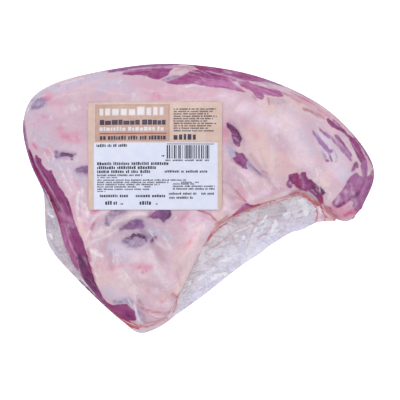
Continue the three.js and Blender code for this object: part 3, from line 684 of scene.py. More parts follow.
STROKES["blood"] = [  # blots of blood in the fat
    (2.6, 1.1, 345, 214.6, 350, 213.4, 355, 212), (2.2, 0.6, 342, 209, 348, 206.6), (1.6, 0.7, 331, 209,
    338, 212), (2.8, 0.65, 59, 128, 66, 131.4), (3.2, 0.75, 64, 136, 71, 138.6, 77, 139),
    (4.4, 0.5, 62, 131, 70, 135, 77, 137), (1.2, 1, 43, 116.5, 48, 117.2), (1.4, 0.9, 45, 96, 49, 98.6),
    (1.1, 1.3, 32.6, 144.4, 36, 148), (1.7, 0.7, 44.6, 151, 48, 152), (1.4, 0.6, 91, 229, 94, 223, 98, 219),
    (2, 0.4, 131, 265, 135, 267), (2.5, 0.75, 139, 267, 145, 267.6, 150, 267), (1.3, 1.3, 143, 272,
    146, 271), (2.2, 0.6, 181, 220, 184, 217, 188, 213), (1.8, 0.45, 182, 227, 186, 230),
    (4, 0.25, 190, 218, 204, 216), (2.2, 0.6, 185, 247, 191, 241), (1.8, 0.35, 191, 237, 196, 233),
    (1.9, 0.6, 112, 268, 121, 265.6), (1.7, 0.85, 153, 99, 156, 92, 160, 98), (2.2, 0.5, 225, 130,
    226, 134), (1.2, 0.7, 161, 302, 163, 302), (1.2, 0.6, 147, 290, 148, 292), (1.2, 0.9, 92, 212, 98, 210),
    (0.9, 1, 302, 97.8, 307, 99), (0.8, 1, 298.6, 103, 299.4, 103.6),
]
print("lines on the fat:", sum(len(lines) for lines in STROKES.values()))

# %% [markdown]
# The next kinds are the red of creases and torn tissue, the light that the cap throws back, and its
# ridges and valleys, which also move the surface and carry a painted highlight and painted shade.

# %% Lines of red, light and relief
STROKES["red"] = [  # creases, juice and torn tissue
    (0.8, 0.4, 197.6, 210.8, 204.7, 211.8, 210.8, 214.9, 213.9, 219, 219, 223), (0.7, 0.8, 137.5, 305.6,
    146, 310, 152, 311.5, 158, 312.5, 163, 313.3, 170, 314), (0.9, 0.5, 172.4, 294.4, 176, 297,
    177.6, 299.4, 177, 303, 175.4, 307, 173.4, 311, 171, 314), (1.2, 0.5, 172.6, 294.6, 175.6, 296.4),
    (1.2, 0.95, 106, 307.4, 112, 313, 118, 318.6, 124, 322, 131, 324.6, 138, 327.6, 144, 328.6, 151, 327.4,
    156, 325), (0.5, 0.5, 143, 310, 148, 313.4, 153, 317, 158, 319, 165, 318, 170, 316),
    (0.6, 0.6, 145, 323.4, 152, 322.4, 160, 321, 166, 319), (0.9, 1, 128, 321.4, 134, 324.4, 138, 327),
    (0.7, 0.6, 140, 325, 146, 330), (1, 0.9, 219, 224.6, 227, 221, 236, 215, 247, 209.4, 262, 204.8,
    277, 201, 288, 197.4, 296, 193.6), (1.4, 0.7, 291, 194.6, 295, 193, 300, 193, 306, 195.6, 311, 199.4,
    317.5, 203.6), (0.8, 0.8, 318, 202, 318.6, 210, 316, 218), (1.9, 0.8, 319, 203, 322, 207, 327, 211,
    332, 214, 335, 219), (0.8, 0.8, 322, 206, 330, 208.4), (1.6, 0.6, 331, 213, 340, 218),
    (0.7, 0.8, 243, 198, 246, 202), (0.5, 0.5, 234.5, 196.7, 245.4, 201.4), (0.6, 0.6, 304, 108.6, 309, 110,
    313, 112.4), (0.5, 0.6, 253.2, 92, 253.4, 97, 256, 99.4), (0.5, 0.6, 268.4, 98, 269.2, 104.4),
    (0.6, 0.4, 292, 95, 300, 97.6, 310, 102), (0.6, 0.35, 296, 99, 306, 103.6, 312, 107),
    (0.5, 0.5, 284, 92.6, 292, 96.4), (0.6, 0.5, 318, 109, 330, 117), (0.5, 0.4, 56, 208, 60, 220, 64, 233,
    66, 240, 69, 248, 71.4, 256, 76, 266), (0.5, 0.5, 176.6, 270, 179, 278, 181, 286), (0.5, 0.6, 248, 85.4,
    252, 90), (0.6, 0.5, 262, 171, 267, 173.2), (0.6, 0.9, 240.6, 89, 243, 91), (0.7, 0.5, 236, 190,
    241, 197), (0.7, 0.7, 286, 199, 270, 203), (0.8, 0.5, 318, 113, 325, 119), (0.8, 0.7, 300, 190.6,
    292, 192), (1.5, 0.7, 228, 220.6, 218, 227, 214, 233),
]
STROKES["crimson"] = [  # fresh lean, where air got at it
    (0.5, 0.5, 176, 70.6, 183, 67, 190, 64), (0.9, 0.3, 180, 69, 187, 66), (1.2, 0.3, 323, 194, 326, 199),
    (0.7, 0.7, 124, 321, 130, 325, 138, 327.6), (0.4, 0.6, 150, 327, 158, 323.6), (0.5, 0.4, 64, 222,
    70, 232, 76, 242), (0.6, 0.4, 292, 184, 291, 190), (0.45, 1, 198, 210.6, 205, 212, 210.8, 215, 213, 218,
    216, 221), (0.8, 0.6, 201, 211.4, 206, 214), (0.6, 0.9, 173, 294, 176.4, 297, 177, 301, 175.6, 306,
    173.6, 311), (0.7, 0.8, 216, 224.6, 222, 220.6, 228, 216), (0.8, 0.7, 296, 193.4, 303, 194.6,
    309, 198.4, 315, 202.6, 320, 206), (1, 0.4, 356, 214, 358, 208), (0.9, 0.6, 338, 206.4, 342, 204,
    345, 203), (1.2, 0.6, 134, 325.4, 137, 327.4), (0.6, 0.7, 187, 68.4, 193, 69, 199, 71.2),
    (0.8, 0.6, 190, 64.8, 197, 67.4), (0.8, 0.9, 329, 208, 332, 211), (1.5, 0.9, 297, 175, 297.6, 181,
    299, 187), (1.1, 0.9, 87.4, 250, 88.6, 256, 90, 261), (0.8, 0.6, 91.6, 268, 93.4, 275, 95.4, 281),
    (1.2, 0.55, 345, 216, 348, 213, 352, 212), (1.1, 0.7, 34, 168, 42, 181, 50, 193, 56, 206),
    (0.9, 0.8, 320.4, 196, 321.4, 203), (0.8, 0.7, 368.6, 179, 373.4, 176.4), (0.9, 0.6, 113, 313,
    122, 318.6), (1.2, 0.5, 352, 211, 356, 210), (0.6, 0.6, 357, 139.6, 360.6, 145), (1, 0.5, 197, 66,
    206, 69), (1.2, 0.4, 185, 74, 198, 74), (1.2, 0.4, 232, 159, 238, 164), (0.8, 0.5, 28, 150, 31, 160),
    (1, 0.4, 240, 73, 250, 77.4),
]
# Painted highlight: pale patches where the cap shines.
STROKES["cap_highlight"] = [  # where the cap shines
    (3, 0.5, 146, 258, 156, 268), (4, 0.6, 222, 96, 234, 99), (5, 0.6, 284, 118, 296, 126),
    (4, 0.5, 66, 180, 72, 194), (3, 0.6, 206, 240, 212, 230), (3, 0.5, 180, 284, 192, 262), (6, 1, 194, 214,
    206, 224, 208, 236), (4, 0.6, 200, 244, 193, 257), (3.6, 0.8, 250, 199, 266, 193), (4.5, 0.7, 244, 172,
    252, 180), (6, 0.7, 260, 118, 278, 126), (2, 0.8, 282, 195, 292, 191), (3, 0.8, 222, 208, 232, 212),
    (4, 0.6, 166, 268, 172, 280), (3, 0.6, 158, 304, 168, 305), (4, 0.4, 322, 190, 330, 200),
    (5, 0.5, 242, 108, 258, 112), (8, 0.6, 292, 132, 308, 164), (6, 0.7, 188, 226, 196, 236),
    (5, 0.6, 78, 200, 84, 214), (7, 0.6, 324, 140, 340, 172), (5, 0.5, 118, 246, 136, 254),
    (4, 0.5, 106, 214, 92, 226), (7, 0.4, 300, 160, 316, 176),
]
# Painted light: the rim of the cap is brightened where its flank lies in shade.
STROKES["painted_rim_light"] = [  # the rim of the cap, bright up to the free film
    (4.4, 1, 222, 219.6, 212, 233, 203, 247, 193, 263, 184, 280, 178, 292), (5, 0.9, 200, 228, 190, 246),
    (3, 0.6, 214, 214, 222, 216), (2, 0.9, 218, 222, 229, 216, 240, 210.4, 262, 202.6, 286, 194.6),
    (3, 0.4, 226, 196, 222, 206), (3, 0.5, 165, 300, 172, 306), (4, 0.3, 330, 172, 322, 186, 326, 200),
    (5, 0.3, 120, 294, 100, 272), (3, 0.5, 84, 250, 88, 262, 98, 282), (2.6, 0.7, 79, 221, 83, 232,
    86, 240), (1.8, 0.4, 62, 230, 66, 244, 72, 258, 77, 270),
]
# Raised, and painted pale as a highlight on the ridge.
STROKES["ridge"] = [  # raised and pale
    (3.8, 0.75, 144, 247, 151, 257, 157, 268, 163, 280, 168, 287), (1.5, 0.8, 158, 243, 164, 248.6,
    171, 249), (1.1, 1.4, 83, 189, 78.4, 197, 77.2, 207, 78.4, 219.6), (1, 1.1, 80, 201, 84.6, 205, 87, 213,
    87, 222), (1.2, 1.2, 108, 210.6, 97.6, 215.4, 92.4, 223), (2, 1.1, 95, 235.4, 106.5, 229, 118, 221,
    130, 215, 144, 214), (1.2, 0.8, 86, 237, 90, 232), (1.8, 1.2, 91.4, 250.4, 96, 252, 95, 258),
    (1.4, 0.9, 87.6, 246, 96, 240, 103, 238), (1.2, 0.8, 116, 254, 118.4, 264), (3, 0.8, 118, 268, 126, 281,
    137, 296), (1.2, 0.8, 240, 180, 247, 190, 253, 201), (1.2, 0.8, 264, 182, 269, 190),
    (1.2, 0.8, 272, 181, 277, 187), (1.8, 0.5, 272, 150, 274, 168), (1.1, 1.1, 134.4, 307, 137, 313,
    138, 319, 142, 323), (1.6, 0.4, 258, 150, 262, 162), (1, 0.9, 186, 87.4, 193, 85.2, 204, 85.4),
    (3.4, 0.5, 276, 120, 296, 142, 304, 150), (2, 0.5, 130, 262, 146, 256), (2, 0.2, 150, 92, 165, 88),
    (4, 0.4, 245, 111, 262, 104), (1.5, 0.5, 346, 140, 354, 154, 358, 160), (1.2, 0.5, 322, 182, 314, 180),
    (2.6, 0.5, 193, 226, 203, 239), (2.2, 0.5, 181, 262, 190, 248), (1.5, 0.5, 68, 172, 76, 190),
    (1.2, 0.9, 128, 298, 130, 303), (1.6, 0.5, 210, 196, 216, 206), (1.4, 0.5, 224, 200, 230, 205),
    (0.8, 1.1, 321.6, 207, 323.4, 214),
]
# Sunk, and painted dark as shade in the valley.
STROKES["shaded_valley"] = [  # sunk and dark
    (2, 0.7, 151, 241, 156, 246, 160, 255, 166, 264, 169, 275), (1, 1.3, 137.4, 296, 138.8, 300.6,
    143, 306), (1.8, 0.8, 141.6, 309, 143.6, 316, 144, 323), (1, 0.8, 304, 108.8, 310.4, 109.9,
    323.5, 117.4), (1.8, 0.8, 250.8, 155.4, 260.6, 168.5, 270, 182), (1.3, 0.8, 268, 178, 276, 188),
    (1.3, 0.7, 243, 179.3, 250, 194), (1.1, 0.8, 222, 181, 230, 184, 235, 190, 241, 197),
    (1.5, 0.8, 222, 190, 228, 196, 233, 199), (2.4, 0.6, 131, 284, 148, 283, 168, 290), (1.4, 0.5, 226, 178,
    230, 184), (1.4, 0.5, 242.6, 140, 242.6, 150), (1, 1, 81, 196, 80, 206, 81, 216), (1.2, 0.8, 92, 231,
    102, 222, 110, 216), (2, 0.6, 107, 240, 104, 250), (0.9, 0.8, 88, 218, 86, 208, 83, 198),
    (2.4, 0.3, 150, 295, 160, 300, 170, 301), (0.8, 0.5, 256, 100, 254, 92), (2, 0.5, 110, 258, 112, 268),
    (1.4, 0.4, 160, 228, 163, 236), (1.6, 0.4, 178, 262, 182, 272), (1, 0.6, 88, 234, 86, 243, 88, 248),
    (1.2, 0.5, 100, 246, 94, 250), (1.6, 0.5, 259, 150, 266, 168),
]
print("with the red, the light and the relief:", sum(len(lines) for lines in STROKES.values()))

# %% [markdown]
# The last kinds show on the lean alone: shreds of silverskin, and darker and lighter muscle.

# %% Lines on the lean
STROKES["fleck"] = [  # pale shreds and silverskin that lie on the lean
    (0.8, 0.5, 66, 224, 76, 226), (1.3, 1.1, 339, 197, 336.4, 203), (1.6, 1, 346, 191.6, 346.6, 197),
    (1.1, 0.8, 352, 188, 353, 193.6), (0.6, 0.6, 353.6, 188, 352, 195), (1.3, 0.5, 354, 198, 357, 203,
    356, 207), (0.5, 0.6, 77, 171, 82, 169.4), (1.8, 0.3, 60, 206, 64, 220, 69, 234), (0.4, 0.7, 229.6, 78,
    236, 84, 243, 89.6), (0.45, 1, 128, 69.6, 140, 68.2, 150, 67.4, 162, 67, 173, 67.4), (0.4, 0.5, 140, 70,
    152, 69.2), (0.5, 0.6, 186, 73, 200, 76, 204, 79.6), (0.5, 1, 206, 70.6, 214, 72.2, 222, 74.2,
    230, 76.2, 238, 78.6, 246, 80.4), (0.35, 0.6, 200, 70, 206, 72.8, 212, 76), (0.4, 0.7, 228, 75,
    236, 78.4, 240, 80.6), (0.8, 0.8, 224, 70.6, 231, 72.4), (0.5, 0.9, 231, 80.5, 235, 84, 240, 88,
    243, 90.5), (0.5, 0.6, 195, 82.4, 200, 80.6, 206, 79), (0.9, 0.7, 196, 83, 199, 82),
    (0.5, 0.8, 200, 72.6, 190, 70.6), (0.45, 0.9, 337, 140, 344, 147.4, 350, 155), (0.5, 0.5, 345, 134.6,
    349, 139), (0.7, 0.5, 351, 184, 354, 190, 355, 195), (0.7, 0.55, 345.6, 190, 348.4, 196, 346, 200),
    (0.6, 0.5, 341, 196, 342, 203), (0.8, 0.7, 337, 203.6, 339.6, 200), (0.7, 0.6, 352, 199, 357, 202.6,
    354, 208), (0.9, 0.7, 359, 170.6, 364, 176), (0.9, 0.6, 371, 171, 373.6, 175), (0.6, 0.4, 349.6, 190,
    350.4, 197), (0.8, 0.9, 290.4, 182.6, 292, 187), (0.6, 0.6, 299.6, 173, 300.4, 178),
    (0.7, 0.9, 308, 191.6, 312.5, 196, 316.5, 200), (0.7, 0.3, 302, 177, 304, 184, 303.4, 189),
    (0.4, 0.5, 319.4, 186, 319.8, 192), (0.4, 0.65, 33, 155, 36, 165, 41, 173, 46, 183, 52, 195, 57.6, 208),
    (0.4, 0.7, 44, 178, 51, 190, 58, 204), (2, 0.35, 60, 213, 66, 218, 71, 222), (0.5, 0.7, 65, 225,
    70, 228, 74, 227), (0.5, 0.6, 66, 230, 70, 234), (0.6, 0.6, 68.6, 241, 72, 249), (0.7, 0.5, 72.6, 251,
    76, 256), (0.6, 0.5, 82, 256, 86, 262), (0.4, 0.5, 84.4, 258, 86.6, 266), (0.4, 0.5, 77, 260, 79, 270,
    84, 282), (0.5, 0.6, 102, 296, 103.4, 300), (0.5, 0.7, 234, 137, 238.4, 141.4), (0.9, 0.7, 128.6, 305.6,
    133, 309), (0.8, 0.6, 130, 221.4, 134, 224), (0.4, 0.5, 242, 206, 238, 213), (0.5, 0.5, 26, 142,
    29, 150), (0.5, 0.4, 26, 128, 26, 136),
]
STROKES["shade"] = [  # darker lean
    (4, 0.3, 80, 258, 86, 272, 93, 286), (3, 0.3, 195, 70, 215, 75), (1.8, 0.2, 312, 183, 315, 190,
    317.6, 198), (1.2, 0.7, 338, 207.4, 341, 205, 344, 203), (1.4, 0.5, 350, 199, 354, 196.6, 358, 194.6),
    (1.2, 0.6, 355, 196.4, 358.4, 193.4), (1.4, 0.2, 358, 200, 356, 209), (1.2, 0.35, 239, 132, 241, 140),
    (0.6, 0.5, 242.4, 153.4, 247.4, 160.4), (2, 0.3, 164, 216, 170, 215), (0.9, 0.3, 134, 236, 144, 238),
    (1.2, 0.35, 92, 270, 96, 281, 100, 291), (1.4, 0.25, 80, 268, 86, 262), (1.2, 0.2, 66, 192, 70, 205),
    (1.4, 0.15, 40, 160, 50, 176, 56, 184), (1.6, 0.3, 52, 196, 58, 209), (2.2, 0.2, 126, 316, 131, 320),
    (0.8, 0.3, 333, 201.6, 334.6, 204), (1.4, 0.15, 196, 65.6, 222, 70), (1, 0.4, 246, 204, 251, 206.4),
    (1, 0.3, 290, 178, 293, 183), (0.5, 0.6, 293, 184, 293.6, 190),
]
STROKES["light"] = [  # lighter lean
    (2.4, 0.3, 238, 209, 250, 204.6), (2.4, 0.2, 46, 170, 52, 180), (2.6, 0.35, 205, 82, 222, 83, 236, 87),
    (1.5, 0.3, 287.4, 178, 287.4, 186), (2, 0.3, 350, 210, 357, 210), (1.6, 0.25, 300, 177, 304, 186),
    (2.6, 0.35, 62, 213, 70, 221), (1.4, 0.25, 238, 155, 244, 160), (1.2, 0.3, 228, 79, 240, 82),
    (0.8, 0.4, 343, 205, 348, 203), (1.8, 0.3, 152, 216, 158, 213),
]
print("with the lean:", sum(len(lines) for lines in STROKES.values()))

# %% [markdown]
# ## Numbers for every vertex
#
# For the top of the meat, each vertex is looked up where the photograph sees it. The underside is
# hidden there, and is the lean side of the cut: dark muscle with seams of fat, which starts a little
# below the widest part of the side.

# %% Masks on the meat
LEAN_REACH = 6.0  # mm, beyond which the distance to a patch no longer matters
PLAIN_TONE = 0.4
VEIL_SOFT, SINEW_SOFT = 3.0, 4.0  # mm over which they fade out


def patch_distance(outline, px, py):
    """How far inside an outline each place is, in mm, and at most the reach outside it."""
    ring = np.reshape(outline, (-1, 2))
    low, high = ring.min(axis=0), ring.max(axis=0)
    margin = LEAN_REACH * PIXELS_PER_MM
    close = (px > low[0] - margin) & (px < high[0] + margin)
    close &= (py > low[1] - margin) & (py < high[1] + margin)
    distance = np.full(px.shape, -LEAN_REACH)
    distance[close] = ring_distance(ring, px[close], py[close]) / PIXELS_PER_MM
    return np.maximum(distance, -LEAN_REACH)


def line_mask(lines, px, py):
    """The strongest of several lines at each place: a bell curve of the distance over the width."""
    mask = np.zeros(px.shape)
    for width, strength, *path in lines:
        distance = path_distance(np.reshape(path, (-1, 2)), px, py) / PIXELS_PER_MM
        mask = np.maximum(mask, strength * np.exp(-((distance / width) ** 2)))
    return mask


def top_masks(px, py):
    """The masks of the fat cap: the distance into lean, how light and how lilac that lean is, the
    veils of silverskin, the zones of sinew, and one mask for each kind of stroke."""
    lean = np.full(px.shape, -LEAN_REACH)
    tone = np.full(px.shape, PLAIN_TONE)
    lilac = np.zeros(px.shape)
    for patch_tone, patch_lilac, *outline in LEAN.values():
        distance = patch_distance(outline, px, py)
        tone = np.where(distance > lean, patch_tone, tone)
        lilac = np.where(distance > lean, patch_lilac, lilac)
        lean = np.maximum(lean, distance)
    masks = {kind: line_mask(lines, px, py) for kind, lines in STROKES.items()}
    masks["tone"] = tone - masks.pop("shade") + masks.pop("light")
    masks["lean"], masks["lilac"] = lean, lilac
    for name, zones, soft in (("veil", VEIL, VEIL_SOFT), ("sinew", SINEW, SINEW_SOFT)):
        masks[name] = np.zeros(px.shape)
        for strength, *outline in zones:
            share = ease(0.5 + patch_distance(outline, px, py) / soft)
            masks[name] = np.maximum(masks[name], strength * share)
    return masks


print("masks:", ", ".join(["lean", "tone", "lilac", "veil", "sinew", *STROKES]))

# %% [markdown]
# On the steep flank, a patch outlined from above would smear down the side in straight bands. So the
# places there are looked up a few rows further along, more or less by smooth noise, and the bands
# wander as muscle does.

# %% Looking up the photograph's places
FLANK_TALL = 9.0  # mm above the widest line
FLANK_SLIDE = 16.0  # how many rows a streak may wander
FLANK_HILLS = [(1.0, 4, 34, 51), (0.5, 3, 12, 52)]  # share, stretch, size in mm, seed


def run_along(columns):
    """The distance along the outer side at which each row starts, the same all along the row."""
    run = np.linspace(0, 1, MEAT_ROWS + 1) * run_of(OUTER_SIDE)[-1]
    return np.repeat(run[:, None], columns + 1, axis=1)


def slid(values, rows):
    """Each place takes the value that a number of rows further on has, between two whole rows."""
    wanted = np.clip(np.arange(len(values))[:, None] + rows, 0, len(values) - 1.001)
    first = wanted.astype(int)
    share = wanted - first
    here = np.take_along_axis(values, first, axis=0)
    return here + share * (np.take_along_axis(values, first + 1, axis=0) - here)


top_z = top_height(top_xy[..., 0], top_xy[..., 1], top_depth)
top_run, base_run = run_along(TOP_COLUMNS), run_along(BASE_COLUMNS)
photo_x, photo_y = seen_at(top_xy[..., 0], top_xy[..., 1], top_z)
flank = ease((EDGE_HEIGHT + FLANK_TALL - top_z) / FLANK_TALL)
wander = FLANK_SLIDE * flank * sum(
    share * hills(top_run, stretch * top_z, size, seed) for share, stretch, size, seed in FLANK_HILLS
)
masks = top_masks(slid(photo_x, wander), slid(photo_y, wander))
print("lean covers", round(100 * float(np.mean(masks["lean"] > 0))), "per cent of the top's vertices")

# %% [markdown]
# ## The beef
#
# Under tight film, fat is softly lumpy rather than smooth, and the windows of lean lie a little lower
# than the fat round them. So the finer relief is added here, on top of the forms of the solid model:
# the ridges and valleys that were outlined, hills of three sizes, and fibres along the lean.

# %% The top of the beef
FINE_HILLS = [(17, 0.5), (8, 0.28), (4, 0.13)]  # size and height in mm
HILL_SEED = 11
LEAN_SUNK, LEAN_SOFT = 0.45, 1.5  # mm, how deep, and over how wide an edge
RIDGE_TALL, RED_SUNK = 0.9, 0.35
FINE_START = 5.0  # mm from the outline, from which the fine relief is whole


def fine_relief(x, y, masks):
    """Ridges minus valleys minus the sunk lean, plus the hills, which lean halves."""
    into_lean = ease(0.5 + masks["lean"] / LEAN_SOFT)
    height = RIDGE_TALL * masks["ridge"] - RIDGE_TALL * masks["shaded_valley"] - LEAN_SUNK * into_lean
    height = height - RED_SUNK * masks["red"]
    for number, (size, tall) in enumerate(FINE_HILLS):
        height = height + tall * hills(x, y, size, HILL_SEED + number) * (1 - 0.5 * into_lean)
    return height


top_z = top_z + fine_relief(top_xy[..., 0], top_xy[..., 1], masks) * (
    relief_share(top_xy[..., 0], top_xy[..., 1]) * ease(top_depth / FINE_START)
)
base_z = EDGE_HEIGHT * (1 - quarter(base_depth / BASE_ROUND))
base_z[:, [0, -1]] = EDGE_HEIGHT
base_z[[0, -1]] = EDGE_HEIGHT
print("the highest place of the meat is", round(float(top_z.max()), 1), "mm above the table")

# %% [markdown]
# The underside is lean from a wavy line a little above the table, and the patches that reach the rim
# run on for a way below it, so that no line shows where the top ends.

# %% Loops round the meat
UNDER_START = 9.0  # mm: the height at which the lean of the underside begins
UNDER_WAVES = (4, 23, 5)  # height in mm, size in mm, seed
UNDER_TONE, UNDER_CLOUDS = 0.35, (0.15, 40, 6)
RUN_ON = 16.0  # mm over which what reaches the rim fades out below it
LEAN_SLOPE = 0.45  # mm of lean lost for each mm below the rim


def around(top, base):
    """One loop for each row: over the top, and back underneath without its two ends."""
    return np.concatenate([top, base[:, -2:0:-1]], axis=1)


def carried_over(values):
    """Each place of the underside takes the value at the nearer end of the row above it."""
    half = (BASE_COLUMNS + 2) // 2
    ends = [np.repeat(values[:, :1], half, 1), np.repeat(values[:, -1:], BASE_COLUMNS + 1 - half, 1)]
    return np.concatenate(ends, 1)


base_masks = {key: np.zeros(base_z.shape) for key in masks}
tall, size, seed = UNDER_WAVES
under = UNDER_START + tall * hills(base_run, 0 * base_run, size, seed) - base_z
under = np.clip(under, -LEAN_REACH, LEAN_REACH)
base_masks["lean"] = np.maximum(under, carried_over(masks["lean"]) - LEAN_SLOPE * base_depth)
tall, size, seed = UNDER_CLOUDS
base_masks["tone"] = UNDER_TONE + tall * hills(base_xy[..., 0], base_xy[..., 1], size, seed)
for key in ("tone", "lilac", "sinew"):
    base_masks[key] += ease(1 - base_depth / RUN_ON) * (carried_over(masks[key]) - base_masks[key])
beef_values = {key: around(masks[key], base_masks[key]) for key in masks}
grain_top = np.stack([top_run, top_depth, 0 * top_depth], -1)
grain_base = np.stack([base_run, -base_depth, 0 * base_depth], -1)
beef_values["grain"] = around(grain_top, grain_base)
meat_loops = around(np.dstack([top_xy, top_z]), np.dstack([base_xy, base_z]))
SKIN_GAP = 0.35  # mm between the meat and the outside of the film on it


def shrunk(loops, distance):
    """The loops moved inwards along their normals, the cross product of the two directions in them."""
    along = np.gradient(loops, axis=0)
    across = np.roll(loops, -1, axis=1) - np.roll(loops, 1, axis=1)
    normal = np.cross(across, along)
    length = np.linalg.norm(normal, axis=-1, keepdims=True)
    normal = normal / np.maximum(length, 1e-9)
    normal[[0, -1]] = 0
    return loops - distance * normal


beef = skin("beef", shrunk(meat_loops, SKIN_GAP), beef_values)

# %% [markdown]
# ## The film on the meat
#
# Where the bag is shrunk on the meat it is hardly seen, apart from its gloss, a little haze, and the
# white streaks of its pleats, which are a painted highlight. It is a skin of its own just outside the
# beef, with fewer vertices. A number for each vertex says how pleated it is there, and the material
# turns that into white haze, a painted highlight.

# %% The film skin
PLEATS = [  # width in mm, strength, then x, y of the line's points
    (1.6, 0.4, 28.7, 104.8, 46.5, 87.3, 56.5, 82.4, 76.4, 74.9, 106.2, 69.9), (0.8, 0.8, 79, 213,
    83.5, 198), (0.6, 0.5, 318, 169, 314, 180), (0.6, 0.5, 322, 172, 319, 181), (0.7, 0.6, 316, 186,
    330, 190), (1, 0.3, 170, 74, 187, 68), (0.8, 0.35, 136, 290, 143, 305, 146, 322), (0.9, 0.5, 176, 284,
    190, 262, 206, 236), (1.2, 0.25, 155, 227, 165, 246, 171, 270), (0.9, 0.3, 120, 231, 133, 233,
    146, 233), (0.5, 0.6, 96, 212, 90, 220, 88, 230), (0.6, 0.5, 98, 240, 104, 236, 110, 230),
    (0.5, 0.6, 90, 246, 96, 252, 96, 260), (0.5, 0.5, 115, 250, 118, 258, 116, 266), (0.4, 0.5, 123, 250,
    127, 254, 126, 262), (0.5, 0.5, 64, 176, 68, 186, 76, 194), (0.5, 0.5, 60, 170, 64, 180),
    (0.5, 0.4, 244, 176, 252, 188, 256, 200),
]
FILM_STEP = 2  # the film takes every second row and column of the meat
FILM_RISE = 0.12  # mm, the height of a pleat
RIDGE_NARROW, RIDGE_PLEAT = 0.4, 0.35  # a ridge of the fat is a pleat too, narrower and fainter


def film_skin(loops, px, py):
    """The meat's own loops, thinned, and raised along the pleats."""
    thin_ridges = [(RIDGE_NARROW * width, RIDGE_PLEAT, *path) for width, _, *path in STROKES["ridge"]]
    pleat = around(np.maximum(line_mask(PLEATS, px, py), line_mask(thin_ridges, px, py)), 0 * base_z)
    raised = loops.copy()
    raised[..., 2] += FILM_RISE * pleat
    keep_rows = np.r_[0 : MEAT_ROWS : FILM_STEP, MEAT_ROWS]
    thin = raised[keep_rows][:, ::FILM_STEP]
    return skin("film_on_meat", thin, {"pleat": pleat[keep_rows][:, ::FILM_STEP]})


film = film_skin(meat_loops, photo_x, photo_y)

# %% [markdown]
# ## The free film
#
# In the bend of the muscle and along its left side, the two layers of the bag meet and stick
# together. They leave the meat on its top and under it and run flat to the edge, crumpled like foil:
# small facets with sharp crests between them. A crest is where smooth noise crosses zero, so one
# minus the size of the noise gives crests, and straight creases drawn at random run across them.

# %% The web of free film
FILM_EDGE = smooth_curve([
    (-121.4, 14), (-119, 2), (-117.6, -26), (-116.2, -33.5), (-110.6, -43.2), (-94.2, -61.2),
    (-73, -82), (-58.5, -94.5), (-45.5, -103.5), (-33, -100.4), (-21.6, -93.2), (-18.4, -90.6),
    (4.6, -74), (29.3, -54.4), (39, -47.6), (47.4, -42.4), (52, -38.4), (62, -31.7), (72, -26),
    (80, -24), (85, -21.4), (92, -18.2), (106, -17.4),
])
ROOT_START, ROOT_END = 0.262, 0.885  # shares of the outer and inner side, where the root ends
WEB_FACING = [  # share of the film's edge, and share of the root that it faces
    (0, 0), (0.13, 0.12), (0.25, 0.23), (0.4, 0.37), (0.455, 0.411), (0.54, 0.477),
    (0.635, 0.57), (0.73, 0.65), (0.8, 0.728), (0.91, 0.891), (1, 1),
]
WEB_HEIGHT = 11.0  # mm above the table, at the edge
WEB_RISE, WEB_SLOPE = 15.0, 0.55  # mm that the upper layer climbs at the root, at most so steep
WEB_DROP = 0.35  # of that rise, by which the lower layer drops
WEB_INSIDE = 5.0  # mm that the web runs on into the meat
WEB_THICK = 0.5  # mm, both layers together at the outer edge
ROOT_EVENING = 0.03  # share of the root over which its direction is evened
WEB_ROWS = 420
WEB_UPPER, WEB_LOWER = 72, 24
CRUMPLES = [(26, 1.6), (12, 1.2), (5.5, 0.5)]  # size and height in mm
CRUMPLE_SEED = 31
CREASE_COUNT = 170
crease_draw = np.random.default_rng(29)
LOWER_CRUMPLE = 0.9  # the lower layer is this much as crumpled
print("the film's edge is", round(run_of(FILM_EDGE)[-1]), "mm long")

# %% [markdown]
# The lines of the free film are outlined like those of the meat: dried juice, glare, the meat and
# the torn tissue at its root, and where it lies dark.

# %% Lines on the free film
WEB_STROKES = {}  # kind: lines, written as above
WEB_STROKES["crease"] = [  # juice dried in sharp folds
    (0.4, 0.8, 205, 252, 215, 246, 222, 241, 231, 234, 238, 229, 246, 226, 253, 223, 262, 219, 270, 217,
    277, 217), (0.35, 0.7, 227, 225, 230, 232, 234, 241, 237, 247, 240, 252), (0.4, 0.8, 259, 212, 258, 219,
    254, 225, 252, 232, 249, 241, 247, 247), (0.4, 0.9, 273, 221, 270, 228, 266, 233, 259, 237, 258, 240),
    (0.35, 0.6, 284, 217, 285, 228, 279, 232), (0.4, 0.5, 290, 228, 300, 222, 312, 224, 317, 220),
    (0.4, 0.6, 296, 204, 300, 209), (0.4, 0.6, 295, 219, 300, 217.5, 305, 215.5), (0.35, 0.6, 212, 248,
    218, 245, 224, 240), (0.5, 0.4, 183, 294, 188, 288, 194, 280), (0.4, 0.5, 46, 206, 47, 222, 50, 238,
    58, 251), (0.6, 0.5, 62, 238, 68, 250, 73, 262), (0.5, 0.6, 46, 197, 52, 206, 55, 214),
    (0.4, 0.5, 54, 198, 49, 208), (0.8, 0.4, 60, 256, 70, 270, 80, 280), (0.35, 0.6, 286, 224, 292, 216,
    290, 206),
]
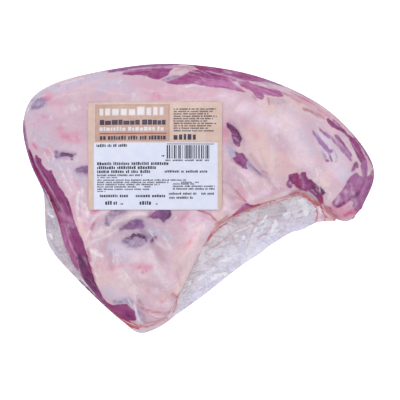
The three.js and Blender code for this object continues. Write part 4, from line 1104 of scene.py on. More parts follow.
WEB_STROKES["glare"] = [  # where it mirrors the light
    (3.2, 1, 301, 201, 305, 206, 306, 211), (2, 1, 276, 222, 274, 227, 271, 233), (1.6, 0.9, 284, 215,
    289, 213), (2.2, 0.9, 235, 238, 240, 236, 243, 237), (0.8, 0.6, 252, 236, 257, 227, 264, 220, 268, 214),
    (0.7, 0.6, 262, 231, 267, 222), (1.4, 0.75, 219, 255, 222, 253), (1.6, 0.7, 200, 279, 206, 274,
    214, 268), (1.3, 0.52, 224, 261, 233, 257, 242, 253), (2, 1, 213, 278, 218, 275.5, 225, 274),
    (1.1, 0.75, 200, 288, 203, 286.5), (0.7, 0.52, 244, 252, 250, 247, 254, 240), (1, 0.3, 229, 242,
    236, 251), (0.9, 0.52, 290, 205, 292, 211), (0.6, 0.52, 283, 219, 281, 227), (0.7, 0.6, 297, 213,
    295, 220), (0.6, 0.6, 289, 221, 290, 224), (1.2, 0.38, 219, 268, 232, 263), (0.9, 0.38, 250, 229,
    246, 238), (0.9, 0.6, 313, 211, 316, 208), (0.6, 0.45, 262, 246, 256, 252), (1.2, 0.75, 48, 213,
    53, 216), (1.2, 0.38, 49, 228, 52, 240), (1, 0.38, 208, 262, 214, 256), (1, 0.38, 195, 297, 205, 290),
    (0.6, 0.45, 270, 243, 262, 250), (1, 0.52, 288, 198, 296, 200), (0.9, 0.9, 319, 207, 320.6, 213),
    (0.8, 0.8, 327, 207, 333, 209.6), (0.6, 0.45, 329, 210, 334, 215), (1.2, 0.38, 184, 290, 190, 283),
    (0.7, 0.3, 240, 220, 250, 214),
]
WEB_STROKES["lean"] = [  # where meat lies under it at the tail
    (2.6, 1, 79, 283, 88, 291.6, 96, 299.6, 104, 307, 112, 314, 118, 318.6), (2.6, 1, 104, 303, 112, 311,
    120, 318), (1.8, 0.8, 46, 190, 49.6, 198, 53, 206), (0.5, 0.6, 60, 222, 64, 236, 70, 252),
]
WEB_STROKES["shade"] = [  # where it lies dark and brown over the ground
    (4.4, 0.95, 61, 246, 68, 259, 78, 274), (2.6, 0.8, 47, 196, 50, 206, 55, 212), (1.6, 0.5, 58, 226,
    62, 240), (8, 1, 49, 206, 52, 224, 56, 240), (5.5, 0.9, 58, 248, 66, 264, 73, 274), (4, 0.15, 214, 246,
    230, 238), (5, 0.5, 262, 214, 284, 208), (3, 0.2, 190, 282, 198, 272),
]
# Torn tissue, and along the root also a painted light pink over the shade where the film meets the meat.
WEB_STROKES["flesh_and_painted_light"] = [  # torn tissue and fat along the root
    (1.7, 1, 112, 313, 120, 319.2, 127, 324, 134, 327.6, 141, 328.4, 148, 327.6, 156, 324.4),
    (1.2, 0.8, 156, 326, 163, 322.4, 169, 319, 173.6, 312.4, 176.4, 305, 177.4, 297), (1.2, 0.8, 177.6, 295,
    183, 283, 190, 271, 197, 257, 205, 243.6), (1.3, 0.8, 204, 245, 212, 233.6, 219.6, 226.4, 230, 220.4,
    240, 214.6, 252, 209.4, 264, 205.6, 280, 201, 290, 197.4), (1, 0.9, 289, 196.4, 298, 194.4, 305, 196.4,
    311, 201.4, 316, 205.4), (2.2, 1, 318, 204, 321, 211, 320, 220), (3, 1, 320, 206, 326, 212, 329, 219),
    (2.4, 1, 328, 211, 334, 218, 336, 220), (0.8, 0.6, 314, 219, 318, 221.6),
]
WEB_STROKES["red"] = [  # the reddest of it
    (1.2, 1, 118, 318, 124, 322.4, 131, 326, 138, 328), (0.4, 0.7, 50, 200, 56, 212, 60, 224),
    (0.6, 0.8, 140, 326, 147, 327, 154, 324.6, 162, 320), (0.9, 0.7, 206, 243, 212, 235, 219, 228,
    227, 223), (0.55, 0.6, 226, 223, 236, 217.4, 248, 211.6, 262, 206.8, 276, 202.8, 290, 198),
    (1.2, 1, 291, 195.6, 299, 194, 306, 197, 312, 201.6, 318, 205), (0.45, 0.9, 311, 201.6, 316, 207.5,
    317.5, 213.7, 316, 221), (1, 1, 318, 205, 324, 209, 329, 213, 334, 218, 336, 221), (0.5, 0.8, 322, 210,
    325, 216, 325, 221), (0.4, 0.7, 177, 298, 176, 306, 173, 313), (0.5, 0.8, 327, 208, 334, 213, 338, 219),
    (0.5, 0.7, 324, 216, 331, 219),
]
print("lines on the free film:", sum(len(lines) for lines in WEB_STROKES.values()))

# %% [markdown]
# Each row of the free film runs from inside the meat, out along the upper layer and back along the
# lower one. Where the web is narrow it hardly rises, or it would stand up like a wall.

# %% The two layers of free film
def root_points(share):
    """The points of the meat's outline at which the free film leaves it: from a share of the outer side
    down to the tail, and then along the inner side."""
    outer = run_of(OUTER_SIDE)[-1] * ROOT_START
    inner = run_of(INNER_SIDE)[-1] * ROOT_END
    run = np.asarray(share) * (outer + inner)
    down = at_share(OUTER_SIDE, np.maximum(0, ROOT_START * (1 - run / outer)))
    up = at_share(INNER_SIDE, np.clip(ROOT_END * (run - outer) / inner, 0, 1))
    return np.where((run < outer)[..., None], down, up)


def crumple(x, y):
    """Crests where noise crosses zero, in three sizes, from about -1 to 1 times their heights, and
    straight creases drawn at random, each a tent over the distance to it."""
    height = np.zeros(x.shape)
    for number, (size, tall) in enumerate(CRUMPLES):
        height += tall * (0.6 - 1.8 * np.abs(hills(x + 0.35 * y, y - 0.2 * x, size, CRUMPLE_SEED + number)))
    for _ in range(CREASE_COUNT):
        middle = FILM_EDGE[crease_draw.integers(200, CURVE_STEPS)] + crease_draw.uniform((-32, 2), (4, 44))
        turn = math.radians(crease_draw.choice([35, 50, -40, 80]) + crease_draw.normal(0, 14))
        half = crease_draw.uniform(4, 20) * np.array([math.cos(turn), math.sin(turn)])
        tall, wide = crease_draw.uniform(-0.7, 0.9), crease_draw.uniform(0.8, 2.6)
        distance = path_distance([middle - half, middle + half], x, y)
        height += tall * np.maximum(0, 1 - distance / wide)
    return height


def web_sheets():
    """The upper and the lower layer, as rows from inside the meat to the edge of the film. The layers
    climb and drop by (1 - out)², where out is the share of the way to the edge."""
    share = np.linspace(0, 1, WEB_ROWS + 1)
    edge = at_share(FILM_EDGE, share)
    root_share = step(WEB_FACING, share)
    root = root_points(root_share)
    before = root_points(np.maximum(0, root_share - ROOT_EVENING))
    after = root_points(np.minimum(1, root_share + ROOT_EVENING))
    inwards = np.stack([before[:, 1] - after[:, 1], after[:, 0] - before[:, 0]], -1)
    inwards /= np.hypot(*inwards.T)[:, None]
    rise = np.minimum(WEB_RISE, WEB_SLOPE * np.hypot(*(edge - root).T))[:, None]
    sheets = []
    for columns, side in ((WEB_UPPER, 1), (WEB_LOWER, -1)):
        out = np.concatenate([[-1], np.linspace(0, 1, columns)])[None]
        way = np.maximum(out, 0)[..., None]
        xy = root[:, None] + way * (edge - root)[:, None]
        xy = xy + WEB_INSIDE * (out < 0)[..., None] * inwards[:, None]
        taper = (1 - way[..., 0]) ** 2
        climb = rise * taper if side > 0 else -WEB_DROP * rise * taper
        free = np.minimum(way[..., 0] * 4, (1 - way[..., 0]) * 6)
        height = WEB_HEIGHT + side * WEB_THICK / 2 + climb
        crumpled = crumple(xy[..., 0], xy[..., 1]) * ease(free) * ease(rise / 8)
        height = height + crumpled * (1 if side > 0 else LOWER_CRUMPLE)
        sheets.append(np.dstack([xy, height]))
    return sheets


def film_web():
    """One closed loop for each row: out along the upper layer and back along the lower one."""
    upper, lower = web_sheets()
    loops = np.concatenate([upper, lower[:, ::-1]], axis=1)
    ends = [np.repeat(loops[k : k + 1].mean(axis=1, keepdims=True), loops.shape[1], 1) for k in (0, -1)]
    loops = np.concatenate([ends[0], loops, ends[1]])
    px, py = seen_at(loops[..., 0], loops[..., 1], loops[..., 2])
    way = np.concatenate([np.r_[0, np.linspace(0, 1, WEB_UPPER)], np.linspace(1, 0, WEB_LOWER), [0]])
    values = {kind: line_mask(lines, px, py) for kind, lines in WEB_STROKES.items()}
    values["out"] = np.broadcast_to(way, px.shape)
    return skin("film_web", loops, values)


web = film_web()

# %% [markdown]
# ## The label
#
# The label is a sheet of paper, pressed flat on the fat by the shrinking bag, so it follows the
# smooth crown of the meat. It is a closed sheet with its own thickness and rounded corners. Paper
# that got damp cockles a little, which is what keeps its shine from being a plain grey patch.

# %% The sheet of the label
LABEL_LIFT = 0.35  # mm from the film to the paper
PAPER_THICK = 0.15
LABEL_CORNER = 1.2  # mm, the radius
CORNER_ROWS = 7
PAPER_COLUMNS, PAPER_ROWS = 160, 128
COCKLE, COCKLE_SEED = [(19, 0.11), (8, 0.04)], 51  # size and height in mm


def paper_height(x, y):
    """The underside of the paper: the crown, a lift, and soft hills."""
    height = crown(x, y) + LABEL_LIFT
    for number, (size, tall) in enumerate(COCKLE):
        height = height + tall * hills(x, y, size, COCKLE_SEED + number)
    return height


def rounded_square(u, v):
    """Points of the label for u and v from 0 to 1. Near a corner, each row is pulled in by the
    corner's circle: r - √(r² - d²), where d is how far the row is beyond the circle's middle."""
    x, y = u * LABEL_WIDTH, v * LABEL_HEIGHT
    beyond = np.maximum(LABEL_CORNER - np.minimum(y, LABEL_HEIGHT - y), 0)
    pull = LABEL_CORNER - np.sqrt(np.maximum(LABEL_CORNER**2 - beyond**2, 0))
    x = pull + u * (LABEL_WIDTH - 2 * pull)
    return LABEL_LEFT + x, LABEL_BOTTOM + y


def closed_sheet(x, y, low, high):
    """The vertices and faces of a thin closed sheet over a grid of places: the upper faces, the lower
    ones turned round, and a wall along the rim."""
    rows, columns = x.shape
    number = np.arange(rows * columns).reshape(rows, columns)
    upper = np.stack([number[:-1, :-1], number[:-1, 1:], number[1:, 1:], number[1:, :-1]], -1)
    lower = upper[..., ::-1] + rows * columns
    rim = np.concatenate([number[0], number[1:, -1], number[-1, -2::-1], number[-2:0:-1, 0]])
    beside = np.roll(rim, -1)
    wall = np.stack([beside, rim, rim + rows * columns, beside + rows * columns], -1)
    faces = np.concatenate([upper.reshape(-1, 4), lower.reshape(-1, 4), wall])
    layers = [np.stack([x, y, height], -1).reshape(-1, 3) for height in (high, low)]
    return np.concatenate(layers), faces


def label_sheet():
    """The paper, with rows packed close at its corners so that they come out round."""
    u = np.linspace(0, 1, PAPER_COLUMNS + 1)
    turn = np.linspace(0, 0.5 * np.pi, CORNER_ROWS)
    near_corner = LABEL_CORNER / LABEL_HEIGHT * (1 - np.cos(turn))
    middle = np.linspace(near_corner[-1], 1 - near_corner[-1], PAPER_ROWS)[1:-1]
    v = np.r_[near_corner, middle, (1 - near_corner)[::-1]]
    x, y = rounded_square(*np.meshgrid(u, v))
    low = paper_height(x, y)
    vertices, faces = closed_sheet(x, y, low, low + PAPER_THICK)
    print("the label has", len(vertices), "vertices")
    return link_mesh("label_paper", vertices, faces.tolist())


label = label_sheet()

# %% [markdown]
# ## The print on the label
#
# The print is made of plain fields, lines and bars, each a thin draped strip on the paper. Rows of
# small bars in word-like groups stand for the lines of print, with the same length, height and
# weight as the real ones, and they spell nothing. The random draws have a fixed seed, so the print
# is the same each time.

# %% Fields and lines of print
PRINT_THICK = 0.03
PANEL_THICK = 0.02
INK_LOW = -0.02  # mm: the inks reach this far into the paper
DRAPE_STEP = 1.0
# Boxes on the label: left, right, top and bottom in mm from its left and upper edge.
PANEL = [(4.2, 96.9, 30.0, 80.0)]
FIELD = [(5.4, 61.0, 1.6, 29.0)]
RED_BANDS = [(8.7, 58.9, 22.8, 23.8)]
RULE = (58.9, 94.0, 30.9, 31.4)
BLOCKS = {  # rows of blocks: left, right, top, height, width, gap between words, gap between blocks
    "pale": [(8.7, 58.8, 3.2, 6.8, 5.4, 0.0, 0.2), (8.7, 58.8, 18.1, 3.4, 2.5, 1.2, 0.2)],
    "navy": [(9, 58.8, 12.8, 4.0, 4.2, 1.2, 0.14)],
}
LINES = [  # left, right, top, height, width of a bar, gap between words
    *[(64, 96.2 - 3 * (k % 3), 4.6 + 1.78 * k, 1.15, 0.6, 0.7) for k in range(9)],
    (64, 94, 20.8, 1.1, 0.7, 0.7), (9, 58.8, 24.8, 3.1, 1.7, 1.2), (64, 81, 23.8, 4.2, 3.2, 0.8),
    (6.4, 30.6, 31, 2.2, 1.1, 1), (58, 90.4, 42.5, 1.3, 0.9, 1.4), (55.1, 57.3, 39.3, 1.2, 0.9, 0.5),
    (6.8, 62.2, 44.4, 2.3, 1.3, 1.2), (6.8, 51.2, 47.4, 2.3, 1.3, 1.2), (6.8, 48, 50.3, 2.3, 1.3, 1.2),
    (57.4, 89.6, 50.5, 1.8, 1, 1.1), (6.8, 41.6, 53.4, 1.5, 0.8, 0.8), (7, 22, 55.5, 0.9, 0.6, 0.8),
    (6.8, 73.4, 57.2, 1.2, 0.8, 0.8), (6.8, 60.6, 58.9, 1.2, 0.8, 0.8), (69.6, 83, 58.9, 1, 0.8, 2),
    (6.8, 53.5, 60.5, 1.2, 0.8, 0.8), (6.8, 37.4, 62.2, 1.2, 0.8, 0.8), (42, 47.6, 62.2, 1.1, 0.8, 0.8),
    (6.8, 45.8, 64, 1.2, 0.8, 0.8), (6.8, 13.8, 65.8, 0.9, 0.7, 0.8), (63.4, 79.2, 60, 1.2, 0.8, 0.8),
    (63.4, 94.6, 61.7, 1.3, 0.8, 0.8), (63.4, 94.8, 63.6, 1.4, 0.8, 0.8), (8.7, 29.8, 68.5, 2.1, 1.3, 1.2),
    (35.7, 58.7, 68.5, 2.1, 1.3, 1.2), (60.4, 81, 67, 1.7, 0.9, 1), (84.6, 94, 67, 1.7, 0.9, 1),
    (60.8, 78.2, 70, 1.7, 0.9, 1), (12.8, 22, 73.3, 2.9, 1.5, 0.8), (23.8, 26.2, 75, 1.1, 0.8, 0.8),
    (38.5, 48, 73.3, 2.9, 1.5, 0.8), (50.6, 53.2, 75, 1.1, 0.8, 0.8),
]
BARCODE = (58.9, 90.4, 32.0, 42.0)
UNIT = 0.33  # mm, the thinnest bar
draw = np.random.default_rng(7)


def bars_in_words(left, right, top, tall, wide, gap, apart=0.34):
    """A line of print: bars of slightly different widths and heights, in groups of 2 to 9."""
    boxes = []
    x = left
    while x < right:
        for _ in range(int(draw.integers(2, 10))):
            width = wide * draw.uniform(0.55, 1.15)
            rise = tall * draw.uniform(0.0, 0.28)
            if x + width < right:
                boxes.append((x, x + width, top + rise, top + tall))
            x += width + apart * wide
        x += gap
    return boxes


def code_bars(left, right, top, bottom):
    """Upright bars and gaps of one, two or three units."""
    boxes = []
    x = left
    while x < right:
        width = UNIT * int(draw.integers(1, 4))
        boxes.append((x, min(x + width, right), top, bottom))
        x += width + UNIT * int(draw.integers(1, 4))
    return boxes


def draped_boxes(name, boxes, high):
    """Each box as a thin closed strip on the paper, in steps of a millimetre so that it bends."""
    vertices, faces, count = [], [], 0
    for left, right, top, bottom in boxes:
        across = np.linspace(left, right, 2 + int((right - left) / DRAPE_STEP))
        down = np.linspace(top, bottom, 2 + int((bottom - top) / DRAPE_STEP))
        x, y = np.meshgrid(LABEL_LEFT + across, LABEL_BOTTOM + LABEL_HEIGHT - down[::-1])
        paper = paper_height(x, y) + PAPER_THICK
        points, corners = closed_sheet(x, y, paper + INK_LOW, paper + high)
        vertices.append(points)
        faces.append(corners + count)
        count += len(points)
    print(name, "has", len(boxes), "fields or bars")
    return link_mesh(name, np.vstack(vertices), np.vstack(faces).tolist())


dark_boxes = code_bars(*BARCODE) + [RULE]
for line in LINES:
    dark_boxes += bars_in_words(*line)
pale_boxes, navy_boxes = ([box for row in BLOCKS[ink] for box in bars_in_words(*row)] for ink in BLOCKS)
ON_FIELD = PANEL_THICK + PRINT_THICK
panel = draped_boxes("label_white_panel", PANEL, PANEL_THICK)
field = draped_boxes("label_brown_field", FIELD, PANEL_THICK)
pale = draped_boxes("label_pale_blocks", pale_boxes, ON_FIELD)
navy = draped_boxes("label_navy_blocks", navy_boxes, ON_FIELD)
red = draped_boxes("label_red_line", RED_BANDS, ON_FIELD)
dark = draped_boxes("label_dark_print", dark_boxes, ON_FIELD)

# %% [markdown]
# ## Materials
#
# A material here is a handful of nodes between the numbers on the surface and the shader. A bench
# makes and links the nodes, so that a line of the script reads like a formula. The fraying of an
# edge by noise is used for every border of lean, so it is a node group, built once.

# %% A bench for nodes
def linear(*eye_colour):
    """A colour as the eye names it, 0 to 255, turned into the linear light that shaders take."""
    c = np.array(eye_colour) / 255
    light = np.where(c <= 0.04045, c / 12.92, ((c + 0.055) / 1.055) ** 2.4)
    return (*light.tolist(), 1.0)


class Bench:
    """The nodes of one material or group. Each method makes a node and returns what it puts out."""

    def __init__(self, tree):
        self.tree = tree

    def fill(self, node, inputs):
        """Sets the node's inputs to values, or links them to sockets."""
        for key, value in inputs.items():
            if isinstance(value, bpy.types.NodeSocket):
                self.tree.links.new(value, node.inputs[key])
            else:
                node.inputs[key].default_value = value

    def put(self, kind, inputs, **settings):
        made = self.tree.nodes.new("ShaderNode" + kind)
        for key, value in settings.items():
            setattr(made, key, value)
        self.fill(made, inputs)
        return made.outputs

    def calc(self, operation, a, b=0.0):
        return self.put("Math", {0: a, 1: b}, operation=operation)[0]

    def plus(self, a, b):
        return self.calc("ADD", a, b)

    def minus(self, a, b):
        return self.calc("SUBTRACT", a, b)

    def times(self, a, b):
        return self.calc("MULTIPLY", a, b)

    def swing(self, cloud, size):
        """Noise as a push to and fro: its distance from a half, times the size."""
        return self.times(self.minus(cloud, 0.5), size)

    def between(self, value, low, high, start=0.0, end=1.0):
        """Eases from start to end while the value goes from low to high."""
        inputs = {"Value": value, "From Min": low, "From Max": high, "To Min": start, "To Max": end}
        return self.put("MapRange", inputs, interpolation_type="SMOOTHSTEP")[0]

    def blend(self, share, a, b):
        """The colour a where the share is 0, and b where it is 1. A colour is a socket or 0 to 255."""
        a, b = (linear(*colour) if isinstance(colour, tuple) else colour for colour in (a, b))
        return self.put("Mix", {0: share, 6: a, 7: b}, data_type="RGBA")[2]

    def noise(self, place, scale, detail=3.0, roughness=0.5, distortion=0.0, output="Fac"):
        inputs = {"Vector": place, "Scale": scale, "Detail": detail}
        return self.put("TexNoise", {**inputs, "Roughness": roughness, "Distortion": distortion})[output]

    def vector(self, operation, a, b):
        key = "Scale" if operation == "SCALE" else 1
        return self.put("VectorMath", {0: a, key: b}, operation=operation)[0]

    def on(self, name, output="Fac"):
        """A number, or with the output Vector three, that the mesh carries."""
        return self.put("Attribute", {}, attribute_name=name)[output]

    def place(self):
        return self.put("TexCoord", {})["Object"]

    def stretched(self, vector, scale, turn=0.0):
        return self.put("Mapping", {"Vector": vector, "Scale": scale, "Rotation": (0, 0, turn)})[0]

    def bump(self, height, distance, strength):
        return self.put("Bump", {"Height": height, "Distance": distance, "Strength": strength})[0]

    def shade(self, **values):
        """Sets or links inputs of the shader, with _ for a space in their names."""
        shader = self.tree.nodes["Principled BSDF"]
        self.fill(shader, {key.replace("_", " "): value for key, value in values.items()})


def new_material(name):
    material = bpy.data.materials.new(name)
    material.use_nodes = True
    return material, Bench(material.node_tree)


print("a bench has", len([name for name in vars(Bench) if name[0] != "_"]), "tools")

# %% [markdown]
# The group takes a distance in mm, pushes it to and fro by fine noise, and eases it into a mask: 0
# well outside, 1 well inside, and Softness mm wide between.

# %% The frayed edge
def frayed_edge():
    """The mask of (Distance + (noise - 0.5) × Fray) / Softness, eased from -0.5 to 0.5."""
    group = bpy.data.node_groups.new("frayed edge", "ShaderNodeTree")
    for name in ("Distance", "Place", "Scale", "Fray", "Softness"):
        kind = "NodeSocketVector" if name == "Place" else "NodeSocketFloat"
        group.interface.new_socket(name, in_out="INPUT", socket_type=kind)
    group.interface.new_socket("Mask", in_out="OUTPUT", socket_type="NodeSocketFloat")
    start = group.nodes.new("NodeGroupInput").outputs
    end = group.nodes.new("NodeGroupOutput")
    n = Bench(group)
    push = n.swing(n.noise(start["Place"], start["Scale"], 4.0, 0.6), start["Fray"])
    share = n.calc("DIVIDE", n.plus(start["Distance"], push), start["Softness"])
    n.fill(end, {"Mask": n.between(share, -0.5, 0.5)})
    return group


FRAYED = frayed_edge()
print("the frayed edge has", len(FRAYED.nodes), "nodes")

# %% [markdown]
# ## The look of beef
#
# Fat is warm white with pink and lilac clouds. Lean through film is purple rather than red, because
# no air reaches it, with pale threads along its grain. Each is a colour of its own first.

# %% Fat and lean
def fat_colour(n, place):
    """Cream, pink or lilac by the zone and by three clouds of noise, from large to small."""
    broad = n.noise(place, 34.0)
    middle = n.noise(place, 95.0, 5.0, 0.62)
    small = n.noise(place, 360.0, 5.0, 0.65)
    sway = n.swing(middle, 1.6)
    colour = n.blend(n.between(broad, 0.4, 0.62), (216, 185, 200), (225, 197, 208))
    for share, tint in (
        (n.between(n.plus(n.on("warm"), sway), 0.1, 0.9), (233, 204, 202)),
        (n.between(n.minus(n.on("cool"), sway), 0.1, 0.9), (205, 196, 218)),
        (n.between(middle, 0.56, 0.74, 0, 0.5), (220, 168, 186)),
        (n.between(middle, 0.44, 0.26, 0, 0.75), (240, 224, 229)),
        (n.between(small, 0.5, 0.72, 0, 0.4), (203, 166, 184)),
    ):
        colour = n.blend(share, colour, tint)
    return colour


def lean_colour(n, place, grain):
    """Dark to light by the tone of the patch, moved up and down by threads along the grain and by
    patches of noise, then pale threads of fat, and lilac where silverskin lies on it."""
    fibres = n.noise(n.stretched(grain, (0.06, 0.8, 1.0)), 1.0, 4.0, 0.6)
    threads = n.noise(n.stretched(grain, (0.03, 0.6, 1.0)), 1.0, 3.0, 0.5, 0.4)
    patches = n.noise(place, 170.0, 4.0, 0.6)
    sway = n.swing(fibres, n.between(n.on("sinew"), 0.0, 0.3, 0.8, 1.2))
    tone = n.plus(n.plus(n.on("tone"), sway), n.swing(patches, 0.9))
    colour = n.blend(n.between(tone, -0.2, 0.4), (90, 30, 76), (152, 66, 122))
    colour = n.blend(n.between(tone, 0.3, 1.0), colour, (200, 132, 178))
    colour = n.blend(n.between(threads, 0.6, 0.72, 0, 0.5), colour, (206, 150, 190))
    lilac = n.times(n.on("lilac"), n.between(patches, 0.3, 0.6, 0.6, 1.2))
    return n.blend(lilac, colour, (164, 140, 190))


print("two colours to mix: fat and lean")

# %% [markdown]
# The layers then lie on each other as they do on the meat: the tints of the fat with its painted
# highlights and painted shade, the painted highlight and shade of the film's wrinkles, blood, streaks
# of sinew, the lean, and last the shreds, fresh red, and the painted white highlights of creases that
# lie on top of everything.

# %% The beef's layers
FAT_TINTS = [  # kind, cloud from and to, share from and to, and the colour
    # Painted highlight on the ridges.
    ("ridge", (0.3, 0.6, 0.45, 0.8), (241, 226, 234)),
    ("veil", (0.34, 0.58, 0.45, 1.0), (142, 122, 166)),
    # Painted light on the rim of the cap.
    ("painted_rim_light", (0.3, 0.6, 0.55, 0.95), (255, 224, 219)),
    # Painted highlight where the cap shines.
    ("cap_highlight", (0.3, 0.6, 0.55, 0.95), (246, 225, 240)),
]
DEEP_TINTS = [
    ("violet", (0.36, 0.56, 0.2, 1.0), (104, 80, 128)),
    ("blood", (0.34, 0.6, 0.25, 0.9), (224, 116, 158)),
]
TOP_TINTS = [
    ("crimson", (0.3, 0.56, 0.32, 0.8), (158, 34, 86)),
    ("red", (0.3, 0.56, 0.45, 0.95), (198, 84, 102)),
    # Painted highlight: the white glints on the film's creases.
    ("glint", (0.36, 0.5, 0.17, 0.85), (250, 243, 250)),
]


def tinted(n, colour, cloud, tints):
    """Lays tints on a colour. The share of each is its number on the surface, times the eased cloud."""
    for kind, fade, tint in tints:
        colour = n.blend(n.times(n.on(kind), n.between(cloud, *fade)), colour, tint)
    return colour


def wrinkle_light_and_shade(n, colour, place, cloud):
    """Fine wrinkles of the film: a painted highlight, white along the zero lines of noise, and painted
    shade, darker between them.
    """
    lines = n.calc("ABSOLUTE", n.minus(n.noise(place, 130.0, 4.0, 0.6, 1.2), 0.5))
    zone = n.on("wrinkle_light_and_shade")
    folds = n.times(n.between(lines, 0.02, 0.004), n.between(cloud, 0.48, 0.62))
    colour = n.blend(n.times(folds, n.between(zone, 0.05, 0.8, 0.0, 0.55)), colour, (250, 242, 249))
    dent_shade = n.times(n.between(lines, 0.03, 0.09), n.between(cloud, 0.54, 0.44))
    return n.blend(n.times(dent_shade, n.between(zone, 0.0, 0.8, 0.06, 0.22)), colour, (196, 164, 186))


def sinew_share(n, grain):
    """Streaks of lean along the grain, the more of them the higher the number of the zone."""
    zone = n.on("sinew")
    line = n.noise(n.stretched(grain, (0.02, 0.75, 1.0)), 1.0, 4.0, 0.6, 0.5)
    height = n.plus(n.minus(line, 0.74), n.times(zone, 0.5))
    return n.times(n.times(n.between(height, -0.02, 0.08), n.between(zone, 0.05, 0.2)), 0.7)


def beef_material():
    """All layers, on a place that is bent a little by noise so that no outline runs too smooth."""
    material, n = new_material("raw_beef")
    flat = n.place()
    warp = n.vector("SUBTRACT", n.noise(flat, 140.0, 2.0, output="Color"), (0.5, 0.5, 0.5))
    place = n.vector("ADD", flat, n.vector("SCALE", warp, 0.006))
    grain = n.on("grain", "Vector")
    streaks = n.noise(n.stretched(grain, (0.045, 0.5, 1.0)), 1.0, 5.0, 0.65, 0.6)
    lean = n.put("Group", {
        "Distance": n.plus(n.on("lean"), n.swing(streaks, 1.3)), "Place": place, "Scale": 300.0,
        "Fray": 1.9, "Softness": n.plus(0.7, n.times(n.on("lilac"), 1.6)),
    }, node_tree=FRAYED)["Mask"]
    cloud = n.noise(place, 240.0, 5.0, 0.65)
    colour = n.blend(n.times(n.on("rose"), 0.75), fat_colour(n, place), (222, 150, 176))
    # Painted shade in the valleys.
    colour = n.blend(n.times(n.on("shaded_valley"), 0.6), colour, (188, 154, 172))
    colour = tinted(n, colour, cloud, FAT_TINTS)
    colour = tinted(n, wrinkle_light_and_shade(n, colour, place, cloud), cloud, DEEP_TINTS)
    colour = n.blend(sinew_share(n, grain), colour, (172, 108, 148))
    colour = n.blend(lean, colour, lean_colour(n, place, grain))
    fleck = n.times(n.on("fleck"), n.between(cloud, 0.34, 0.56, 0.3, 1.0))
    colour = n.blend(n.times(fleck, lean), colour, (212, 180, 206))
    height = n.plus(n.times(n.noise(place, 620.0, 3.0, 0.55), 0.25),
                    n.times(n.noise(place, 210.0, 3.0, 0.5, 0.8), 0.8))
    height = n.plus(height, n.times(streaks, n.times(lean, 0.5)))
    n.shade(Base_Color=tinted(n, colour, cloud, TOP_TINTS), Normal=n.bump(height, 0.0011, 0.6),
            Roughness=n.between(lean, 0, 1, 0.45, 0.4), Coat_Weight=n.between(lean, 0, 1, 0.3, 0.0),
            Specular_IOR_Level=0.0, Coat_Roughness=0.14, Coat_IOR=1.4)
    return material


beef.data.materials.append(beef_material())
print("the beef's material has", len(beef.data.materials[0].node_tree.nodes), "nodes")

# %% [markdown]
# ## The look of film
#
# Clear film is nearly not there. Its pleats are white, because they catch the light from all round.
# Where it stands free, two crumpled layers of it are a pale lilac-grey that lets a third of the
# table through, solid only where they glare or hold juice and tissue.

# %% The film
FILM_HAZE, PLEAT_HIGHLIGHT = 0.015, 0.7
# The pink of the root is partly torn tissue and partly painted light over shade.
WEB_TISSUE = [("flesh_and_painted_light", (246, 202, 210)), ("lean", (130, 58, 104)), ("red", (202, 92, 108))]


def film_material():
    """Film on the meat: a little haze, and in the pleats more white haze, which is a painted highlight."""
    material, n = new_material("film_on_meat")
    place = n.place()
    fine = n.noise(place, 340.0)
    haze = n.between(n.noise(place, 90.0), 0.45, 0.75, FILM_HAZE, FILM_HAZE * 2.5)
    # Painted highlight: the pleats get more white haze.
    pleat = n.times(n.times(n.on("pleat"), n.between(fine, 0.42, 0.6, 0.1, 1.0)), PLEAT_HIGHLIGHT)
    n.shade(Base_Color=linear(246, 240, 248), Alpha=n.plus(haze, pleat),
            Normal=n.bump(fine, 0.0004, 0.4), Roughness=0.15, Coat_Weight=0.0)
    return material


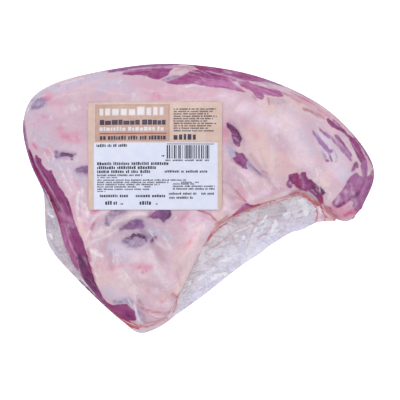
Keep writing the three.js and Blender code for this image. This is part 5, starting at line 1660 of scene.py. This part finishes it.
def web_material():
    """Free film: facets from warm grey to lilac-white, with a painted highlight on some and painted
    shade on others, painted white highlights along crests, white where it mirrors the light, lines of
    juice in its folds, and the tissue that shows at its root, with painted light along the root where it
    lies in shade."""
    material, n = new_material("free_film")
    place = n.place()
    bend = n.vector("SCALE", n.noise(place, 60.0, 2.0, output="Color"), 0.02)
    slant = n.stretched(n.vector("ADD", place, bend), (1, 2.4, 1), -0.75)
    streaks = n.noise(slant, 85.0, 5.0, 0.6, 0.5)
    fine = n.noise(slant, 260.0, 4.0, 0.6, 0.3)
    facet, chip = (
        n.put("SeparateXYZ", {0: n.put("TexVoronoi", {"Vector": slant, "Scale": scale})["Color"]})[0]
        for scale in (95.0, 270.0)
    )
    shine = n.plus(n.plus(n.times(facet, 0.35), n.times(streaks, 0.7)), n.times(chip, 0.2))
    out = n.plus(n.on("out"), n.minus(shine, 0.65))
    colour = n.blend(n.between(out, 0.0, 0.8), (240, 226, 232), (224, 220, 248))
    # Painted highlight on the facets that face the light.
    colour = n.blend(n.between(shine, 0.58, 0.82), colour, (243, 242, 255))
    # Painted shade on the facets that face away from it.
    colour = n.blend(n.between(shine, 0.62, 0.42, 0, 0.8), colour, (196, 184, 204))
    colour = tinted(n, colour, streaks, [("shade", (0.3, 0.6, 0.36, 0.9), (178, 162, 180))])
    # Painted highlight: thin white lines along the crests of the crumpled film.
    crests = n.calc("ABSOLUTE", n.minus(n.noise(slant, 150.0, 3.0, 0.5, 0.3), 0.5))
    crests = n.times(n.between(crests, 0.016, 0.003), n.between(fine, 0.42, 0.54, 0, 0.75))
    colour = n.blend(crests, colour, (248, 246, 253))
    solid = n.times(n.on("crease"), n.between(fine, 0.36, 0.5, 0.25, 1.0))
    colour = n.blend(solid, colour, (200, 132, 124))
    for kind, tint in WEB_TISSUE:
        share = n.times(n.on(kind), n.between(fine, 0.36, 0.54, 0.3, 1.0))
        colour = n.blend(n.between(share, 0.1, 0.7), colour, tint)
        solid = n.calc("MAXIMUM", solid, n.between(share, 0.1, 0.4))
    glare = n.plus(n.minus(n.on("glare"), n.times(chip, 0.5)), n.swing(streaks, 1.8))
    glare = n.between(glare, 0.1, 0.45)
    solid = n.times(n.calc("MAXIMUM", solid, glare), 0.97)
    height = n.plus(fine, n.times(shine, 2.0))
    n.shade(Base_Color=n.blend(glare, colour, (246, 246, 255)), Normal=n.bump(height, 0.001, 0.4),
            Alpha=n.calc("MAXIMUM", n.between(shine, 0.4, 0.75, 0.54, 0.76), solid),
            Roughness=0.25, Coat_Weight=0.6, Coat_Roughness=0.1)
    return material


film.data.materials.append(film_material())
web.data.materials.append(web_material())
print("the film has two materials")

# %% [markdown]
# ## The look of paper
#
# The paper is brown packing paper with a faint mottle. The inks are plain, with a little wear, and
# the white field of the label is a cold white.

# %% The paper and the inks
PAPERS = [  # piece, name, and the two tints that it is mottled with
    (label, "brown_paper", (216, 187, 174), (225, 200, 187)),
    (panel, "white_field", (226, 231, 252), (233, 237, 253)),
    (field, "brown_ink", (196, 160, 147), (208, 173, 160)),
    (pale, "pale_ink", (232, 224, 226), (240, 234, 236)),
    (navy, "navy_ink", (54, 44, 72), (68, 58, 88)),
    (red, "red_ink", (196, 74, 84), (206, 88, 96)),
    (dark, "dark_ink", (44, 42, 60), (64, 62, 82)),
]


def paper_material(name, one, other):
    """Two near tints with mottling noise between them, and the noise of fibres as a slight bump."""
    material, n = new_material(name)
    place = n.place()
    mottle = n.noise(place, 150.0, 5.0, 0.65)
    fibres = n.noise(n.stretched(place, (1.0, 3.0, 1.0)), 900.0)
    n.shade(Base_Color=n.blend(n.between(mottle, 0.35, 0.68), one, other),
            Normal=n.bump(fibres, 0.0001, 0.25), Roughness=0.55, Coat_Weight=0.25, Coat_Roughness=0.25)
    return material


for piece, name, one, other in PAPERS:
    piece.data.materials.append(paper_material(name, one, other))
print("the label has", len(PAPERS), "materials")

# %% [markdown]
# ## The studio
#
# The photograph has a pure white ground and soft light with hardly a shadow. A white world gives
# most of it. Two wide lamps add the broad highlights on the slopes of the fat: a low, strong one at
# the lower right and a high, weaker one at the upper left. The floor shines by itself where the
# camera sees it, so that it is pure white, and lights the pack only as grey card would.

# %% Floor and lamps
FLOOR_SIDE, FLOOR_LOW = 3.0, -0.05  # m from the middle to its edge, and mm below the pack
LAMPS = [  # name, place in m, side in m, power in W
    ("key", (-0.6, 1.2, 2.5), 1.3, 28.0),
    ("fill", (0.8, -1.7, 1.9), 1.2, 46.0),
]


def floor_piece():
    corners = FLOOR_SIDE / MM * np.array([(-1, -1, 0), (1, -1, 0), (1, 1, 0), (-1, 1, 0)])
    corners[:, 2] = FLOOR_LOW
    piece = link_mesh("floor", corners, [(0, 1, 2, 3)])
    material, n = new_material("pale_floor")
    seen = n.put("LightPath", {})["Is Camera Ray"]
    n.shade(Base_Color=(0.9, 0.9, 0.9, 1), Roughness=0.9, Specular_IOR_Level=0.0,
            Emission_Color=(1, 1, 1, 1), Emission_Strength=n.times(seen, 0.8))
    piece.data.materials.append(material)
    return piece


def lamp(name, place, side, power):
    """A square area lamp that looks at the middle of the pack."""
    data = bpy.data.lights.new(name, "AREA")
    data.shape = "SQUARE"
    data.size = side
    data.energy = power
    piece = bpy.data.objects.new(name, data)
    piece.location = place
    away = -np.array(place) + (0, 0, 0.03)
    tilt = math.atan2(math.hypot(away[0], away[1]), -away[2])
    piece.rotation_euler = (tilt, 0, math.atan2(away[0], -away[1]))
    scene_objects.link(piece)


floor = floor_piece()
for settings in LAMPS:
    lamp(*settings)
world = bpy.data.worlds.new("studio")
bpy.context.scene.world = world
world.use_nodes = True
background = world.node_tree.nodes["Background"].inputs
background["Color"].default_value = (0.985, 0.98, 1.0, 1)
background["Strength"].default_value = 0.765
bpy.context.scene.view_settings.view_transform = "Standard"
bpy.context.scene.view_settings.look = "None"
print(len(LAMPS), "lamps and a white world")

# %% [markdown]
# ## Handing the pieces to the frame
#
# The whole pack is one rigid thing, so every piece rides on the root body. The beef and the film
# stand for the solid of the bagged meat, and the paper for the solid of the label.

# %% What each piece is
for piece in (beef, film, web, label, panel, field, pale, navy, red, dark):
    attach(piece, "root")
for piece in (beef, film, web):
    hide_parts("bagged_tri_tip")
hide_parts("label")
